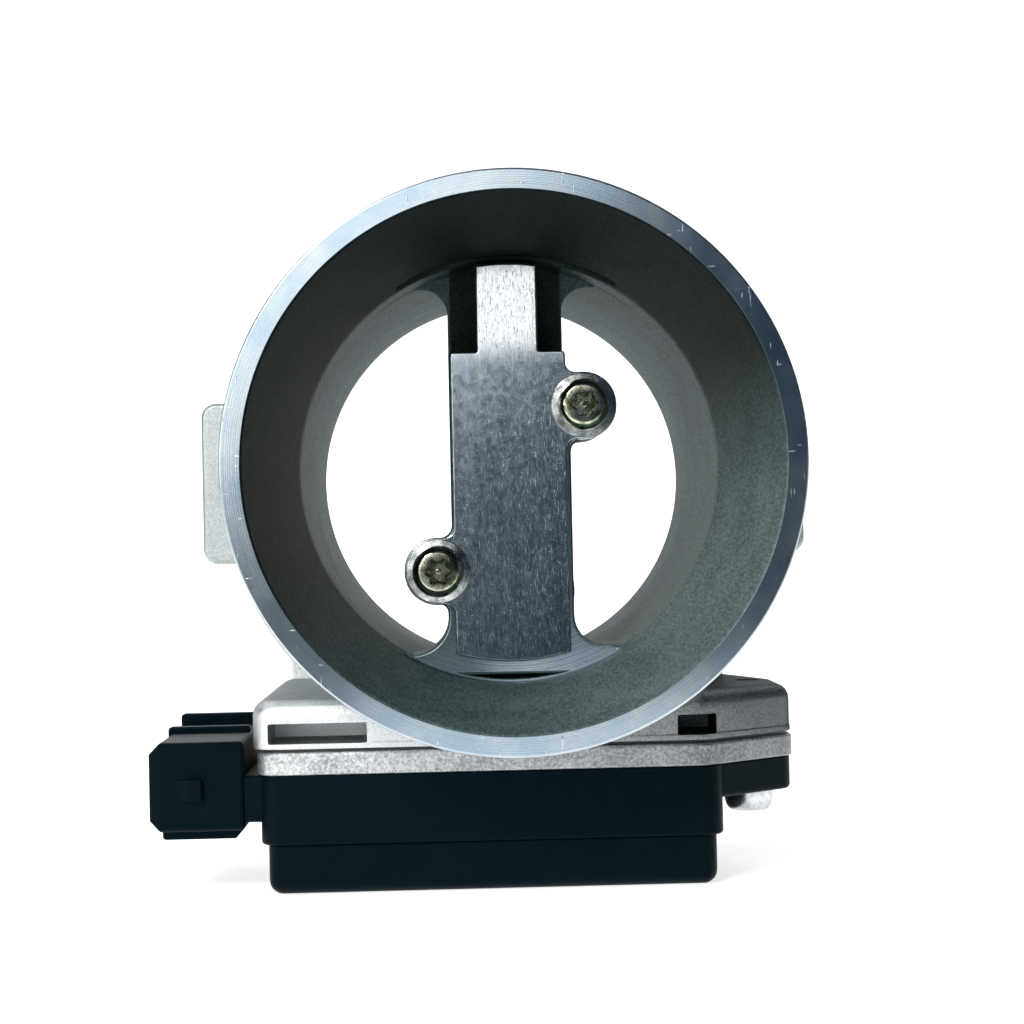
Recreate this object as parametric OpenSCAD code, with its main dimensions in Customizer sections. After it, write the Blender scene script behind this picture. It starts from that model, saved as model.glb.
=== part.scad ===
// Hot-wire air flow meter: a die-cast duct with a bypass passage across its bore,
// and an electronics module with a plug socket under it.
// Air runs along -Y. The origin is the centre of the flange's rear face, on the bore axis.

/* [Air duct] */
// Diameter of the measuring bore
main_bore_d = 65; // [60:1:68]
// Diameter of the bore at the outlet lip
outlet_bore_d = 77.2; // [74:0.2:78]
// Outside diameter of the outlet spigot, where the hose is clamped
outlet_od = 83.8; // [82:0.2:86]
// Outside diameter of the inlet spigot
inlet_od = 73; // [72:0.5:76]
// Distance from the flange's rear face to the outlet lip
outlet_reach = 86; // [84:1:90]
// Distance from the flange's rear face to the inlet lip
inlet_reach = 16; // [14:1:18]
// Distance from the outlet lip to the face of the bypass strut
strut_setback = 31; // [29:1:33]

/* [Flange] */
// Diameter of the round flange
flange_d = 98.8; // [96:0.2:100]
// Thickness of the flange and its ears
flange_t = 7; // [6:0.5:9]
// Width over both ears
ear_span = 106.2; // [104:0.2:110]
// Height of each ear
ear_h = 28.4; // [26:0.2:32]
// Distance between the two flange bolt holes
bolt_span = 88.8; // [87:0.2:90]
// Diameter of the flange bolt holes
bolt_hole_d = 6.6; // [6.4:0.1:7]

/* [Bypass] */
// Width of the bypass strut at its root
strut_w = 19.6; // [19.2:0.2:20.4]
// Depth of the bypass strut along the air flow
strut_depth = 29; // [27:1:30]
// Diameter of the passage that the air is measured in
passage_d = 13; // [12:0.5:13.5]
// Distance from the bore axis down to that passage's axis
passage_drop = 19; // [18.5:0.5:19.5]
// Thickness of the bypass cover
cover_t = 2.4; // [2:0.2:2.8]
// Width of the bypass cover
cover_w = 17.8; // [17:0.2:18.2]
// Width of the cover's tongue
tongue_w = 9.4; // [8.8:0.2:9.8]

/* [Electronics module] */
// Width of the module's main box
module_w = 70.4; // [70:0.2:72]
// Depth of the module along the air flow
module_depth = 58; // [57:1:59]
// Height of the plastic housing
housing_h = 10.6; // [10:0.1:11]
// Height of the plastic cover
cover_h = 7.6; // [7:0.2:9]
// Thickness of the metal base plate
plate_t = 3.5; // [3:0.1:3.6]
// Number of contacts in the plug socket
pin_count = 6; // [4:1:6]

/* [Hidden] */
$fn = 96;
eps = 0.01;

// Duct
bore_r = main_bore_d / 2;
outlet_r = outlet_od / 2;
inlet_r = inlet_od / 2;
outlet_y = -outlet_reach;
strut_y = outlet_y + strut_setback;
throat_r = bore_r + 0.1;        // outlet cone where it meets the measuring bore
waist_r = bore_r + 4.5;         // outside of the duct between spigot and flange
spigot_len = 21;
taper_len = 15;                 // where the outside narrows from spigot to waist
face_cut_r = bore_r + 0.7;      // cutter that faced the strut
face_cut_w = 17;                // half the width of that cut
groove_y = 5.5;
groove_w = 3;
o_ring_cord = 2.5;
o_ring_proud = 0.2;

// Strut
strut_back = strut_y + strut_depth;
passage_r = passage_d / 2;
barrel_r = strut_w / 2;
barrel_end = 4;
channel_w = 11.6;
channel_depth = 11;
outlet_slot_z = 18.1;           // lower edge of the two outlet openings
outlet_depth = 9;
neck_side = [-9.2, 8.95];       // sides of the strut above its bosses
root_side = [-10, 9.6];         // and below them
root_r = [5.6, 4.6];
root_z = -22.9;                 // height where the root fillets begin
roof_r = 3.8;
roof_z = 25.3;
screw_at = [[11.5, 9.6], [-11.4, -15.6]];   // x and z of the cover's screws
boss_r = 5.2;
boss_depth = 13;
m4_r = 1.95;                    // screw shank
m4_hole_r = 2.0;                // hole it turns in
m4_clear_r = 2.25;
head_r = 4;
head_h = 2.9;
module_head_h = 3.5;
washer_t = 0.9;
washer_r = 4.95;

// Module, from the saddle downwards
module_x0 = -39.05;
module_x1 = module_x0 + module_w;
module_y0 = -64;
module_y1 = module_y0 + module_depth;
module_mid = (module_y0 + module_y1) / 2;
ear_x = 43.3;
ear_shoulder = [28.5, 32.8];    // x where the ear's slanted edges begin, at the front and the back
ear_end = [-51, -37.5];         // y of the ear's end
saddle_left = 0.9;              // how far the saddle stands out past the module
saddle_top = -34.5;
saddle_bottom = -41.9;
gasket_t = 0.4;
plate_top = saddle_bottom - gasket_t;
plate_bottom = plate_top - plate_t;
housing_bottom = plate_bottom - housing_h;
cover_bottom = housing_bottom - cover_h;
wall = 2.2;
ear_t = 5.2;
module_screw_at = [[38, -40], [-33.4, -12.4]];
notch = 10.4;                   // corner left free for the second screw

// Sensor
stem_at = [0, -30];
stem_r = 5.9;
stem_hole_r = 6;
stem_top = -passage_drop - passage_r - 0.1;
support_r = 0.4;
support_x = [-3.3, -1.3, 1.3, 3.3];

// Plug socket
shroud_x0 = -55.9;
shroud_x1 = -41.4;
shroud_y0 = -62.5;
shroud_y1 = -25.5;
shroud_z0 = -54.2;
shroud_z1 = -40.6;
shroud_wall = 1.5;
shroud_depth = 12.6;
mouth_bevel = 1.8;
rib_w = 2.2;
ribs = [[-45, -39.6], [-28, -38.8]];   // y and top of each rib on the socket
pin_pitch = 5;
pin_z = -48.6;
shroud_mid = (shroud_y0 + shroud_y1) / 2;

// Points of an arc about c
function arc(c, r, a0, a1, n) =
    [for (i = [0:n]) c + r * [cos(a0 + (a1 - a0) * i / n), sin(a0 + (a1 - a0) * i / n)]];
function unit(v) = v / norm(v);
// A corner q between p and s, rounded with radius r
function corner(p, q, s, r, n) = r <= 0 ? [q] :
    let (a = unit(p - q), b = unit(s - q), h = acos(a * b) / 2,
         c = q + unit(a + b) * r / sin(h),
         t0 = q + a * r / tan(h), t1 = q + b * r / tan(h),
         a0 = atan2(t0[1] - c[1], t0[0] - c[0]),
         turn = atan2(t1[1] - c[1], t1[0] - c[0]) - a0,
         a1 = a0 + (turn > 180 ? turn - 360 : turn < -180 ? turn + 360 : turn))
    arc(c, r, a0, a1, n);
// A polygon with each corner rounded by its own radius
function rounded(pts, radii, n = 6) =
    let (k = len(pts))
    [for (i = [0:k - 1]) each corner(pts[(i + k - 1) % k], pts[i], pts[(i + 1) % k], radii[i], n)];
function box_points(x0, x1, y0, y1) = [[x0, y0], [x1, y0], [x1, y1], [x0, y1]];

// Turns a profile about the bore axis: its x is the radius, its y the distance along +Y
module turned() { rotate([-90, 0, 0]) rotate_extrude() children(); }
// Pushes an x-z outline from y0 to y1
module along_y(y0, y1) { translate([0, y1, 0]) rotate([90, 0, 0]) linear_extrude(y1 - y0) children(); }
// Pushes a y-z outline from x0 to x1
module along_x(x0, x1) { translate([x0, 0, 0]) rotate([90, 0, 90]) linear_extrude(x1 - x0) children(); }
// Pushes an x-y outline from z0 to z1
module along_z(z0, z1) { translate([0, 0, z0]) linear_extrude(z1 - z0) children(); }
// A rod parallel to the bore, at x and z
module rod_y(at, r, y0, y1) { translate([at[0], y0, at[1]]) rotate([-90, 0, 0]) cylinder(r = r, h = y1 - y0); }
// A rod standing at x and y
module rod_z(at, r, z0, z1) { translate([at[0], at[1], z0]) cylinder(r = r, h = z1 - z0); }
module block(x0, x1, y0, y1, z0, z1) { translate([x0, y0, z0]) cube([x1 - x0, y1 - y0, z1 - z0]); }

// Plan of the saddle, base plate and housing rim, with the one-screw ear at +X
module module_plan(grow = 0, left = 0, ear = true) {
    x0 = module_x0 - grow - left;
    y0 = module_y0 - grow;
    y1 = module_y1 + grow;
    pts = ear
        ? [[x0, y0], [ear_shoulder[0] + grow * 0.4, y0], [ear_x + grow, ear_end[0]],
           [ear_x + grow, ear_end[1]], [ear_shoulder[1] + grow * 0.4, y1], [x0, y1]]
        : box_points(x0, module_x1 + grow, y0, y1);
    polygon(rounded(pts, ear ? [3.4, 3, 3.5, 3.5, 3, 3.4] : [3.4, 3.4, 3.4, 3.4]));
}

// ---- Cast body ----

module duct_outside() {
    lip = 0.4;
    fillet = 3;
    turned() polygon(concat(
        [[0, outlet_y], [outlet_r - lip, outlet_y], [outlet_r, outlet_y + lip],
         [outlet_r, outlet_y + spigot_len], [waist_r, outlet_y + spigot_len + taper_len]],
        arc([waist_r + fillet, -flange_t - fillet], fillet, 180, 90, 6),
        arc([flange_d / 2 - 0.8, -flange_t + 0.8], 0.8, -90, 0, 3),
        arc([flange_d / 2 - 0.5, -0.5], 0.5, 0, 90, 2),
        [[inlet_r, 0], [inlet_r, inlet_reach - 0.6], [inlet_r - 0.6, inlet_reach], [0, inlet_reach]]));
}

module duct_bore() {
    turned() polygon(concat(
        [[0, outlet_y - eps], [outlet_bore_d / 2 + 0.3, outlet_y - eps],
         [outlet_bore_d / 2, outlet_y + 0.3], [throat_r, strut_y + 0.5], [bore_r, strut_y + 1.6]],
        arc([bore_r + 2, inlet_reach - 2], 2, 180, 90, 5),
        [[bore_r + 2, inlet_reach + eps], [0, inlet_reach + eps]]));
}

// Ears, the bolt bosses and the block that carries the module's rear edge
module flange_extras() {
    x = ear_span / 2;
    h = ear_h / 2;
    along_y(-flange_t, 0) polygon(rounded(box_points(-x, x, -h, h), [2.5, 2.5, 2.5, 2.5]));
    along_y(-flange_t, 0) polygon(rounded(box_points(-38, 38, saddle_bottom, 0), [1, 1, 1, 1], 3));
    for (side = [-1, 1]) rod_y([side * bolt_span / 2, 0], 5.7, -flange_t - 1.5, -1);
}

// Flat platform under the duct, rounded along its top edges, with a thin rim at its foot
module saddle() {
    top_r = 2.2;
    rear = -1;
    x0 = module_x0 - saddle_left;
    intersection() {
        along_z(saddle_bottom, saddle_top) module_plan(0.1, saddle_left);
        along_y(module_y0 - 1, rear)
            polygon(rounded(box_points(x0, ear_x + 0.2, saddle_bottom, saddle_top), [1, 1, top_r, top_r]));
        along_x(x0 - 1, ear_x + 1)
            polygon(rounded(box_points(module_y0 + 0.4, rear + 2, saddle_bottom - 1, saddle_top), [0, 0, 0, top_r]));
    }
    along_z(saddle_bottom, saddle_bottom + 1.2) intersection() {
        module_plan(0.2);
        translate([module_x0, module_y0 - 1]) square([90, module_depth]);
    }
}

// The x-z outline of the strut, with its root fillets on the bore's floor
module strut_outline() {
    reach = bore_r + 1.5;
    for (i = [0, 1]) {
        side = i == 0 ? -1 : 1;
        edge = root_side[i];
        difference() {
            translate([min(0, edge + side * root_r[i]), -reach])
                square([abs(edge) + root_r[i], reach + root_z]);
            translate([edge + side * root_r[i], root_z]) circle(r = root_r[i]);
        }
        difference() {
            translate([min(0, neck_side[i] + side * roof_r), roof_z])
                square([abs(neck_side[i]) + roof_r, reach - roof_z]);
            translate([neck_side[i] + side * roof_r, roof_z]) circle(r = roof_r);
        }
    }
    translate([root_side[0], -reach]) square([root_side[1] - root_side[0], reach + screw_at[1][1]]);
    translate([neck_side[0], screw_at[1][1]])
        square([root_side[1] - neck_side[0], screw_at[0][1] - screw_at[1][1]]);
    translate([neck_side[0], screw_at[0][1]]) square([neck_side[1] - neck_side[0], reach - screw_at[0][1]]);
}

// Bypass strut across the bore, its screw bosses and the barrel around the measuring passage
module strut() {
    w = strut_w / 2;
    nose_r = 9;
    nose = strut_back - nose_r;
    slab = 16;                  // depth of the front slab, fillets included
    intersection() {
        rod_y([0, 0], bore_r + 1.5, strut_y, inlet_reach - 1);
        union() {
            along_y(strut_y, strut_y + slab) strut_outline();
            // body behind the slab, with a round nose towards the air
            along_z(-40, 40) {
                translate([-nose_r, strut_y + slab - 1]) square([2 * nose_r, nose - strut_y - slab + 1]);
                translate([0, nose]) circle(r = nose_r);
            }
            for (at = screw_at) {
                rod_y(at, boss_r, strut_y, strut_y + boss_depth);
                side = sign(at[0]);
                // web from the boss to the strut
                along_y(strut_y, strut_y + boss_depth) translate([side * (w - 2), at[1]])
                    polygon([[0, -boss_r - 1.4], [side * 2, -boss_r - 1.4], [side * 4, -boss_r],
                             [side * 4, boss_r], [side * 2, boss_r + 1.4], [0, boss_r + 1.4]]);
            }
            rod_y([0, -passage_drop], barrel_r, strut_y, barrel_end - 1.6);
            translate([0, barrel_end - 1.6, -passage_drop]) rotate([-90, 0, 0]) rotate_extrude()
                translate([passage_r + (barrel_r - passage_r) / 2, 0]) circle(r = (barrel_r - passage_r) / 2, $fn = 32);
            block(-7, 7, strut_y + 15, barrel_end - 3, -bore_r - 1.5, -passage_drop);
        }
    }
}

// Air ways and holes in the strut
module strut_cuts() {
    half = channel_w / 2;
    // channel behind the cover, from the measuring passage up to the outlets
    along_y(strut_y - eps, strut_y + channel_depth) {
        translate([0, -passage_drop]) circle(r = half);
        translate([-half, -passage_drop]) square([channel_w, passage_drop + outlet_slot_z + 1]);
    }
    // outlets at both sides of the cover's tongue
    intersection() {
        rod_y([0, 0], bore_r + 0.05, strut_y - eps, strut_back);
        block(-strut_w, strut_w, strut_y - eps, strut_y + outlet_depth, outlet_slot_z, bore_r + 2);
    }
    rod_y([0, -passage_drop], passage_r, strut_y + channel_depth - 2, barrel_end + 1);
    for (at = screw_at) rod_y(at, m4_hole_r, strut_y - 1, strut_y + boss_depth - 3);
}

module meter_body() {
    color("silver") difference() {
        union() {
            difference() {
                union() {
                    duct_outside();
                    flange_extras();
                    saddle();
                }
                duct_bore();
                // facing cut where the strut meets the bore
                intersection() {
                    rod_y([0, 0], face_cut_r, strut_y - 3.5, strut_y);
                    block(-face_cut_w, face_cut_w, strut_y - 4, strut_y + 1, -40, 40);
                }
            }
            strut();
            flow_arrow();
        }
        strut_cuts();
        // groove of the inlet's sealing ring
        turned() translate([inlet_r + o_ring_proud - o_ring_cord, groove_y]) square([o_ring_cord, groove_w]);
        for (side = [-1, 1]) rod_y([side * bolt_span / 2, 0], bolt_hole_d / 2, -flange_t - 3, 1);
        // hole for the sensor stem
        rod_z(stem_at, stem_hole_r, saddle_bottom - 1, -passage_drop);
        rod_z(module_screw_at[0], m4_hole_r, saddle_bottom - 1, saddle_top + 1);
        rod_z(module_screw_at[1], m4_hole_r, saddle_bottom - 1, saddle_bottom + 7);
        // core pockets at the front of the saddle
        for (x = [[-37.6, -22.6], [24.4, 30.5]])
            block(x[0], x[1], module_y0 - 1, module_y0 + 14, -41.1, -38);
    }
}

// Raised arrow on the duct's roof, pointing the way the air goes
module flow_arrow() {
    intersection() {
        along_z(20, 60) polygon([[-2, -16], [2, -16], [2, -32], [5.5, -32], [0, -42], [-5.5, -32], [-2, -32]]);
        rod_y([0, 0], waist_r + 0.7, -46, -10);
        difference() { rod_y([0, 0], waist_r + 2, -46, -10); rod_y([0, 0], waist_r - 1, -47, -9); }
    }
}

// ---- Bypass cover ----

module bypass_cover() {
    w = cover_w / 2;
    t = tongue_w / 2;
    color("lightgray") difference() {
        along_y(strut_y - cover_t, strut_y) {
            intersection() {
                translate([-w, -bore_r]) square([cover_w, bore_r + outlet_slot_z]);
                union() {
                    circle(r = bore_r - 2.75);
                    translate([-w, 0]) square([cover_w, bore_r]);
                }
            }
            intersection() {
                translate([-t, 0]) square([tongue_w, bore_r]);
                circle(r = bore_r - 0.7);
            }
            for (at = screw_at) translate(at) circle(r = boss_r);
        }
        for (at = screw_at) rod_y(at, m4_clear_r, strut_y - cover_t - 1, strut_y + 1);
    }
}

// Six-lobed driver recess
function lobe_points(r, depth) = [for (a = [0:7.5:352.5]) (r - depth + depth * cos(6 * a)) * [cos(a), sin(a)]];

// Pan-head screw standing on z = 0, with its shank below
module pan_screw(len, h = head_h) {
    top_r = 2.9;
    rim = h / 4;
    difference() {
        union() {
            rotate_extrude() polygon(concat([[0, 0], [head_r, 0], [head_r, rim]],
                [for (a = [15:15:90]) [top_r + (head_r - top_r) * cos(a), rim + (h - rim) * sin(a)]],
                [[0, h]]));
            translate([0, 0, -len]) cylinder(r = m4_r, h = len + eps);
        }
        translate([0, 0, h - 1.9]) linear_extrude(3) polygon(lobe_points(1.93, 0.27));
    }
}

// Conical spring washer lying on z = 0
module spring_washer() {
    rotate_extrude() polygon([[m4_clear_r, 0.25], [washer_r, 0], [washer_r, 0.55], [m4_clear_r, washer_t]]);
}

module at_cover_screws(y) {
    for (at = screw_at) translate([at[0], y, at[1]]) rotate([90, 0, 0]) children();
}

module bypass_cover_screws() { color("darkkhaki") at_cover_screws(strut_y - cover_t - washer_t) pan_screw(11); }
module bypass_cover_washers() { color("gainsboro") at_cover_screws(strut_y - cover_t) spring_washer(); }

// ---- Module: gasket, base plate, housing, cover ----

module screw_holes(r) { for (at = module_screw_at) translate(at) circle(r = r); }

module base_gasket() {
    color("dimgray") along_z(plate_top, saddle_bottom) difference() {
        module_plan(-0.6);
        difference() { module_plan(-4.5, ear = false); translate(module_screw_at[1]) circle(r = 5.5); }
        screw_holes(m4_clear_r);
    }
}

module base_plate() {
    color("lightgray") along_z(plate_bottom, plate_top) difference() {
        module_plan(0.4);
        screw_holes(m4_clear_r);
        translate(stem_at) circle(r = stem_hole_r);
    }
}

// Plan of the housing's walls: the box with one corner left free for the second screw
module housing_plan(inset = 0) {
    x0 = module_x0 + inset;
    x1 = module_x1 - inset;
    y0 = module_y0 + inset;
    y1 = module_y1 - inset;
    step = notch + 0.4;
    r = max(3.4 - inset, 1);
    polygon(rounded([[x0, y0], [x1, y0], [x1, y1], [x0 + step, y1], [x0 + step, y1 - step], [x0, y1 - step]],
                    [r, r, r, 1.5, 3, 1.5]));
}

module shroud_outline(inset = 0) {
    polygon(rounded(box_points(shroud_y0 + inset, shroud_y1 - inset, shroud_z0 + inset, shroud_z1 - inset),
                    [1, 1, 1, 1], 3));
}

// Plug socket with bevelled mouth, keying ribs and a catch at each end
module plug_socket() {
    rib_x0 = shroud_x0 + mouth_bevel;
    difference() {
        union() {
            intersection() {
                along_x(shroud_x0, shroud_x1) shroud_outline();
                along_y(shroud_y0 - 1, shroud_y1 + 1) polygon([
                    [shroud_x0, shroud_z0 + mouth_bevel], [rib_x0, shroud_z0], [shroud_x1, shroud_z0],
                    [shroud_x1, shroud_z1], [rib_x0, shroud_z1], [shroud_x0, shroud_z1 - mouth_bevel]]);
                along_z(shroud_z0 - 1, shroud_z1 + 1) polygon([
                    [shroud_x0, shroud_y0 + mouth_bevel / 2], [rib_x0, shroud_y0], [shroud_x1, shroud_y0],
                    [shroud_x1, shroud_y1], [rib_x0, shroud_y1], [shroud_x0, shroud_y1 - mouth_bevel / 2]]);
            }
            for (rib = ribs)
                along_y(rib[0], rib[0] + rib_w) polygon(rounded(
                    box_points(shroud_x0 + 0.9, shroud_x1 - 0.6, shroud_z1 - 1, rib[1]), [0, 0, 0.4, 0.5], 3));
            for (y = [shroud_y0 + 2, shroud_y1 - 6])
                along_y(y, y + 4) polygon([[rib_x0, shroud_z0 + 1], [rib_x0, shroud_z0 - 1.3],
                    [shroud_x1 - 1.6, shroud_z0 - 1.3], [shroud_x1 - 0.4, shroud_z0], [shroud_x1 - 0.4, shroud_z0 + 1]]);
            catch_z = (shroud_z0 + shroud_z1) / 2 - 0.4;
            for (end = [0, 1]) translate([0, end ? shroud_y1 : shroud_y0, 0]) mirror([0, end ? 1 : 0, 0])
                along_z(catch_z - 1.6, catch_z + 1.6)
                    polygon([[-51.6, 0.5], [-51.6, 0], [-49.6, -1.1], [-47.7, -1.3], [-47.7, 0.5]]);
            // neck that joins the socket to the housing
            block(shroud_x1 - eps, module_x0 + 1, shroud_y0 + 0.4, shroud_y1 - 2, -53, plate_bottom - 0.1);
        }
        along_x(shroud_x0 - 1, shroud_x0 + shroud_depth) shroud_outline(shroud_wall);
        for (i = [0:pin_count - 1]) pin_slot(i);
    }
}

function pin_y(i) = shroud_mid + (i - (pin_count - 1) / 2) * pin_pitch;
module pin_slot(i) { block(shroud_x0 + shroud_depth - 1, module_x0 + wall + 1, pin_y(i) - 1.41, pin_y(i) + 1.41, pin_z - 0.41, pin_z + 0.41); }

module module_housing() {
    rim = 1.3;
    color("darkslategray") difference() {
        union() {
            along_z(housing_bottom, plate_bottom) housing_plan();
            // rim and screw ears against the base plate
            along_z(plate_bottom - ear_t, plate_bottom) intersection() {
                module_plan();
                union() {
                    translate([module_x1 - 6, module_y0]) square([30, module_depth]);
                    translate([module_x0, module_y1 - notch - 2]) square([notch + 2, notch + 2]);
                }
            }
            plug_socket();
        }
        along_z(housing_bottom + 2.2, plate_bottom + 1) housing_plan(wall);
        along_z(housing_bottom - 1, housing_bottom + 3) housing_plan(wall + rim);
        // groove that takes the cover's tongue and its sealant
        along_z(housing_bottom - 1, housing_bottom + 1.4) difference() {
            housing_plan(1.9);
            housing_plan(3.3);
        }
        for (at = module_screw_at) rod_z(at, 3.25, plate_bottom - ear_t - 1, plate_bottom + 1);
        for (i = [0:pin_count - 1]) pin_slot(i);
    }
}

module module_cover() {
    inset = 1.05;
    top_r = 2.1;
    x0 = module_x0 + inset;
    x1 = module_x1 - inset;
    y0 = module_y0 + inset;
    y1 = module_y1 - inset;
    color("darkslategray") difference() {
        union() {
            intersection() {
                along_z(cover_bottom, housing_bottom) housing_plan(inset);
                along_y(y0, y1) polygon(rounded(
                    box_points(x0, x1, cover_bottom, housing_bottom + 5), [top_r, top_r, 0, 0]));
                along_x(x0, x1) polygon(rounded(
                    box_points(y0, y1, cover_bottom, housing_bottom + 5), [top_r, top_r, 0, 0]));
            }
            along_z(housing_bottom - eps, housing_bottom + 1) difference() {
                housing_plan(2.05);
                housing_plan(3.15);
            }
        }
        along_z(cover_bottom + 2, housing_bottom - 1.2) housing_plan(inset + 2);
        along_z(housing_bottom - 2, housing_bottom + 2) housing_plan(3.7);
    }
}

module cover_seal() {
    color("black") along_z(housing_bottom + 1, housing_bottom + 1.4) difference() {
        housing_plan(1.95);
        housing_plan(3.25);
    }
}

module connector_pins() {
    color("gold") for (i = [0:pin_count - 1])
        block(shroud_x0 + 4.4, -34, pin_y(i) - 1.4, pin_y(i) + 1.4, pin_z - 0.4, pin_z + 0.4);
}

// ---- Circuit ----

board_x0 = -27;
board_x1 = 25;
board_y0 = -58;
board_y1 = -14;
board_t = 0.8;
glue_t = 0.2;
board_face = plate_bottom - glue_t - board_t;

module board_plan() {
    difference() {
        polygon(rounded(box_points(board_x0, board_x1, board_y0, board_y1), [1, 1, 1, 1], 3));
        translate(stem_at) circle(r = 9.6);
    }
}

module board_adhesive() { color("white") along_z(plate_bottom - glue_t, plate_bottom) board_plan(); }
module circuit_board() { color("ivory") along_z(board_face, plate_bottom - glue_t) board_plan(); }

// A packaged chip, x, y, length and width
chip_at = [[-12, -49, 10, 7.6], [6, -49, 8.6, 6.2], [17, -36, 6.6, 9], [-18, -32, 7, 7], [15, -21, 9, 6]];
module circuit_chips() {
    color("dimgray") for (c = chip_at)
        block(c[0] - c[2] / 2, c[0] + c[2] / 2, c[1] - c[3] / 2, c[1] + c[3] / 2, board_face - 1.5, board_face);
}

module circuit_capacitors() {
    color("tan") {
        for (x = [-23:4.2:-10]) block(x, x + 2, -42, -38.8, board_face - 1.1, board_face);
        for (x = [0:4:12]) block(x, x + 1.6, -43.6, -41, board_face - 0.9, board_face);
        for (y = [-26:4.4:-17]) block(-14.6, -11.6, y, y + 1.8, board_face - 1.1, board_face);
    }
}

// Flat leads from the socket contacts to the circuit
module bond_leads() {
    color("silver") for (i = [0:pin_count - 1]) {
        y = pin_y(i);
        along_y(y - 0.5, y + 0.5) polygon([
            [-34.6, pin_z + 0.4], [-34.6, pin_z + 0.65], [-33.3, pin_z + 0.65], [-29.4, board_face - 0.9],
            [-26.6, board_face - 0.3], [-26.6, board_face], [-25, board_face], [-25, board_face - 0.3],
            [-26.2, board_face - 0.3], [-29.2, board_face - 1.2], [-33.2, pin_z + 0.4]]);
    }
}

// ---- Sensor ----

module sensor_stem() {
    flange_r = 8.6;
    groove_z = -38.6;
    color("black") difference() {
        union() {
            rod_z(stem_at, stem_r, plate_bottom - eps, stem_top);
            rod_z(stem_at, flange_r, plate_bottom - 3.2, plate_bottom);
        }
        translate([stem_at[0], stem_at[1], groove_z]) rotate_extrude()
            translate([stem_r - 1.6, 0]) square([3, 2.2]);
        for (x = support_x) rod_z([stem_at[0] + x, stem_at[1]], support_r + 0.01, plate_bottom - 5, stem_top + 1);
    }
}

module stem_o_ring() {
    cord = 0.85;
    color("black") translate([stem_at[0], stem_at[1], -37.5]) rotate_extrude()
        translate([stem_hole_r - cord, 0]) circle(r = cord - 0.02, $fn = 32);
}

// Wire ends stand at two heights, so that neither element lies in the other's wake
element_z = [-passage_drop + 2.2, -passage_drop - 1.6];
module sensor_supports() {
    color("goldenrod") for (i = [0:3])
        rod_z([stem_at[0] + support_x[i], stem_at[1]], support_r, plate_bottom - 4.4, element_z[(i == 0 || i == 3) ? 0 : 1] + 0.5);
}

module element(z, half, r, offset) {
    translate([stem_at[0], stem_at[1] + offset, z]) rotate([0, 90, 0]) translate([0, 0, -half]) cylinder(r = r, h = 2 * half);
}
module hot_wire() { color("lightsteelblue") element(element_z[0], 3.3, 0.3, -support_r - 0.3); }
module temperature_sensor() { color("lightsteelblue") element(element_z[1], 1.3, 0.3, support_r + 0.3); }

// ---- Module fasteners and the inlet seal ----

module at_module_screws(z) { for (at = module_screw_at) translate([at[0], at[1], z]) rotate([180, 0, 0]) children(); }
module module_screws() { color("gainsboro") at_module_screws(plate_bottom - ear_t - washer_t) pan_screw(14.5, module_head_h); }
module module_washers() { color("gainsboro") at_module_screws(plate_bottom - ear_t) spring_washer(); }
module ear_sleeves() {
    color("silver") for (at = module_screw_at) difference() {
        rod_z(at, 3.2, plate_bottom - ear_t, plate_bottom);
        rod_z(at, m4_clear_r, plate_bottom - ear_t - 1, plate_bottom + 1);
    }
}

module inlet_o_ring() {
    r = o_ring_cord / 2;
    color("black") turned() translate([inlet_r + o_ring_proud - r, groove_y + groove_w / 2]) circle(r = r, $fn = 48);
}

meter_body();
bypass_cover();
bypass_cover_screws();
bypass_cover_washers();
base_gasket();
base_plate();
module_housing();
module_cover();
cover_seal();
connector_pins();
circuit_board();
board_adhesive();
circuit_chips();
circuit_capacitors();
bond_leads();
sensor_stem();
sensor_supports();
hot_wire();
temperature_sensor();
stem_o_ring();
module_screws();
module_washers();
ear_sleeves();
inlet_o_ring();
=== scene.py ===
"""Builds the looks of a hot-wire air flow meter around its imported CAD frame.

All shapes are worked out in millimetres, in the frame's own axes (+Y against the air flow, +Z up),
and turned into metres when they become meshes.
"""

import logging
import math
from dataclasses import dataclass
from enum import Enum

import bmesh
import bpy
import numpy as np
from mathutils import Matrix, Vector
from numpy.typing import NDArray

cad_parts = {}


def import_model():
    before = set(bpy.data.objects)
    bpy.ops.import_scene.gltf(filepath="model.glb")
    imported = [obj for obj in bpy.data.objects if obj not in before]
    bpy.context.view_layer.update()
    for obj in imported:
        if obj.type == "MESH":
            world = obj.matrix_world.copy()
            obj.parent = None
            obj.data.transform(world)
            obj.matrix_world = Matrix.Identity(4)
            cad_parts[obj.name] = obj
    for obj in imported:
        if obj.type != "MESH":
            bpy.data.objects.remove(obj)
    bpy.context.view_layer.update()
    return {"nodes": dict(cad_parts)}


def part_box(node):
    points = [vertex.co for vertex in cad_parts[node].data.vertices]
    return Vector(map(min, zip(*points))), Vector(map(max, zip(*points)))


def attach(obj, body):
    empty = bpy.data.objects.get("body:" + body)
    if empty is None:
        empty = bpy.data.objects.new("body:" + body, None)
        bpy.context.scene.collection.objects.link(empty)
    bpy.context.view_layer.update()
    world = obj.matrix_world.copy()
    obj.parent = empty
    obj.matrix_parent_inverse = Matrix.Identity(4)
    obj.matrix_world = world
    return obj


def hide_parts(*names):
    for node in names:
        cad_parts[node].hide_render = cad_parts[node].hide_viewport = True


Array = NDArray[np.float64]
Colour = tuple[float, float, float]

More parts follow.
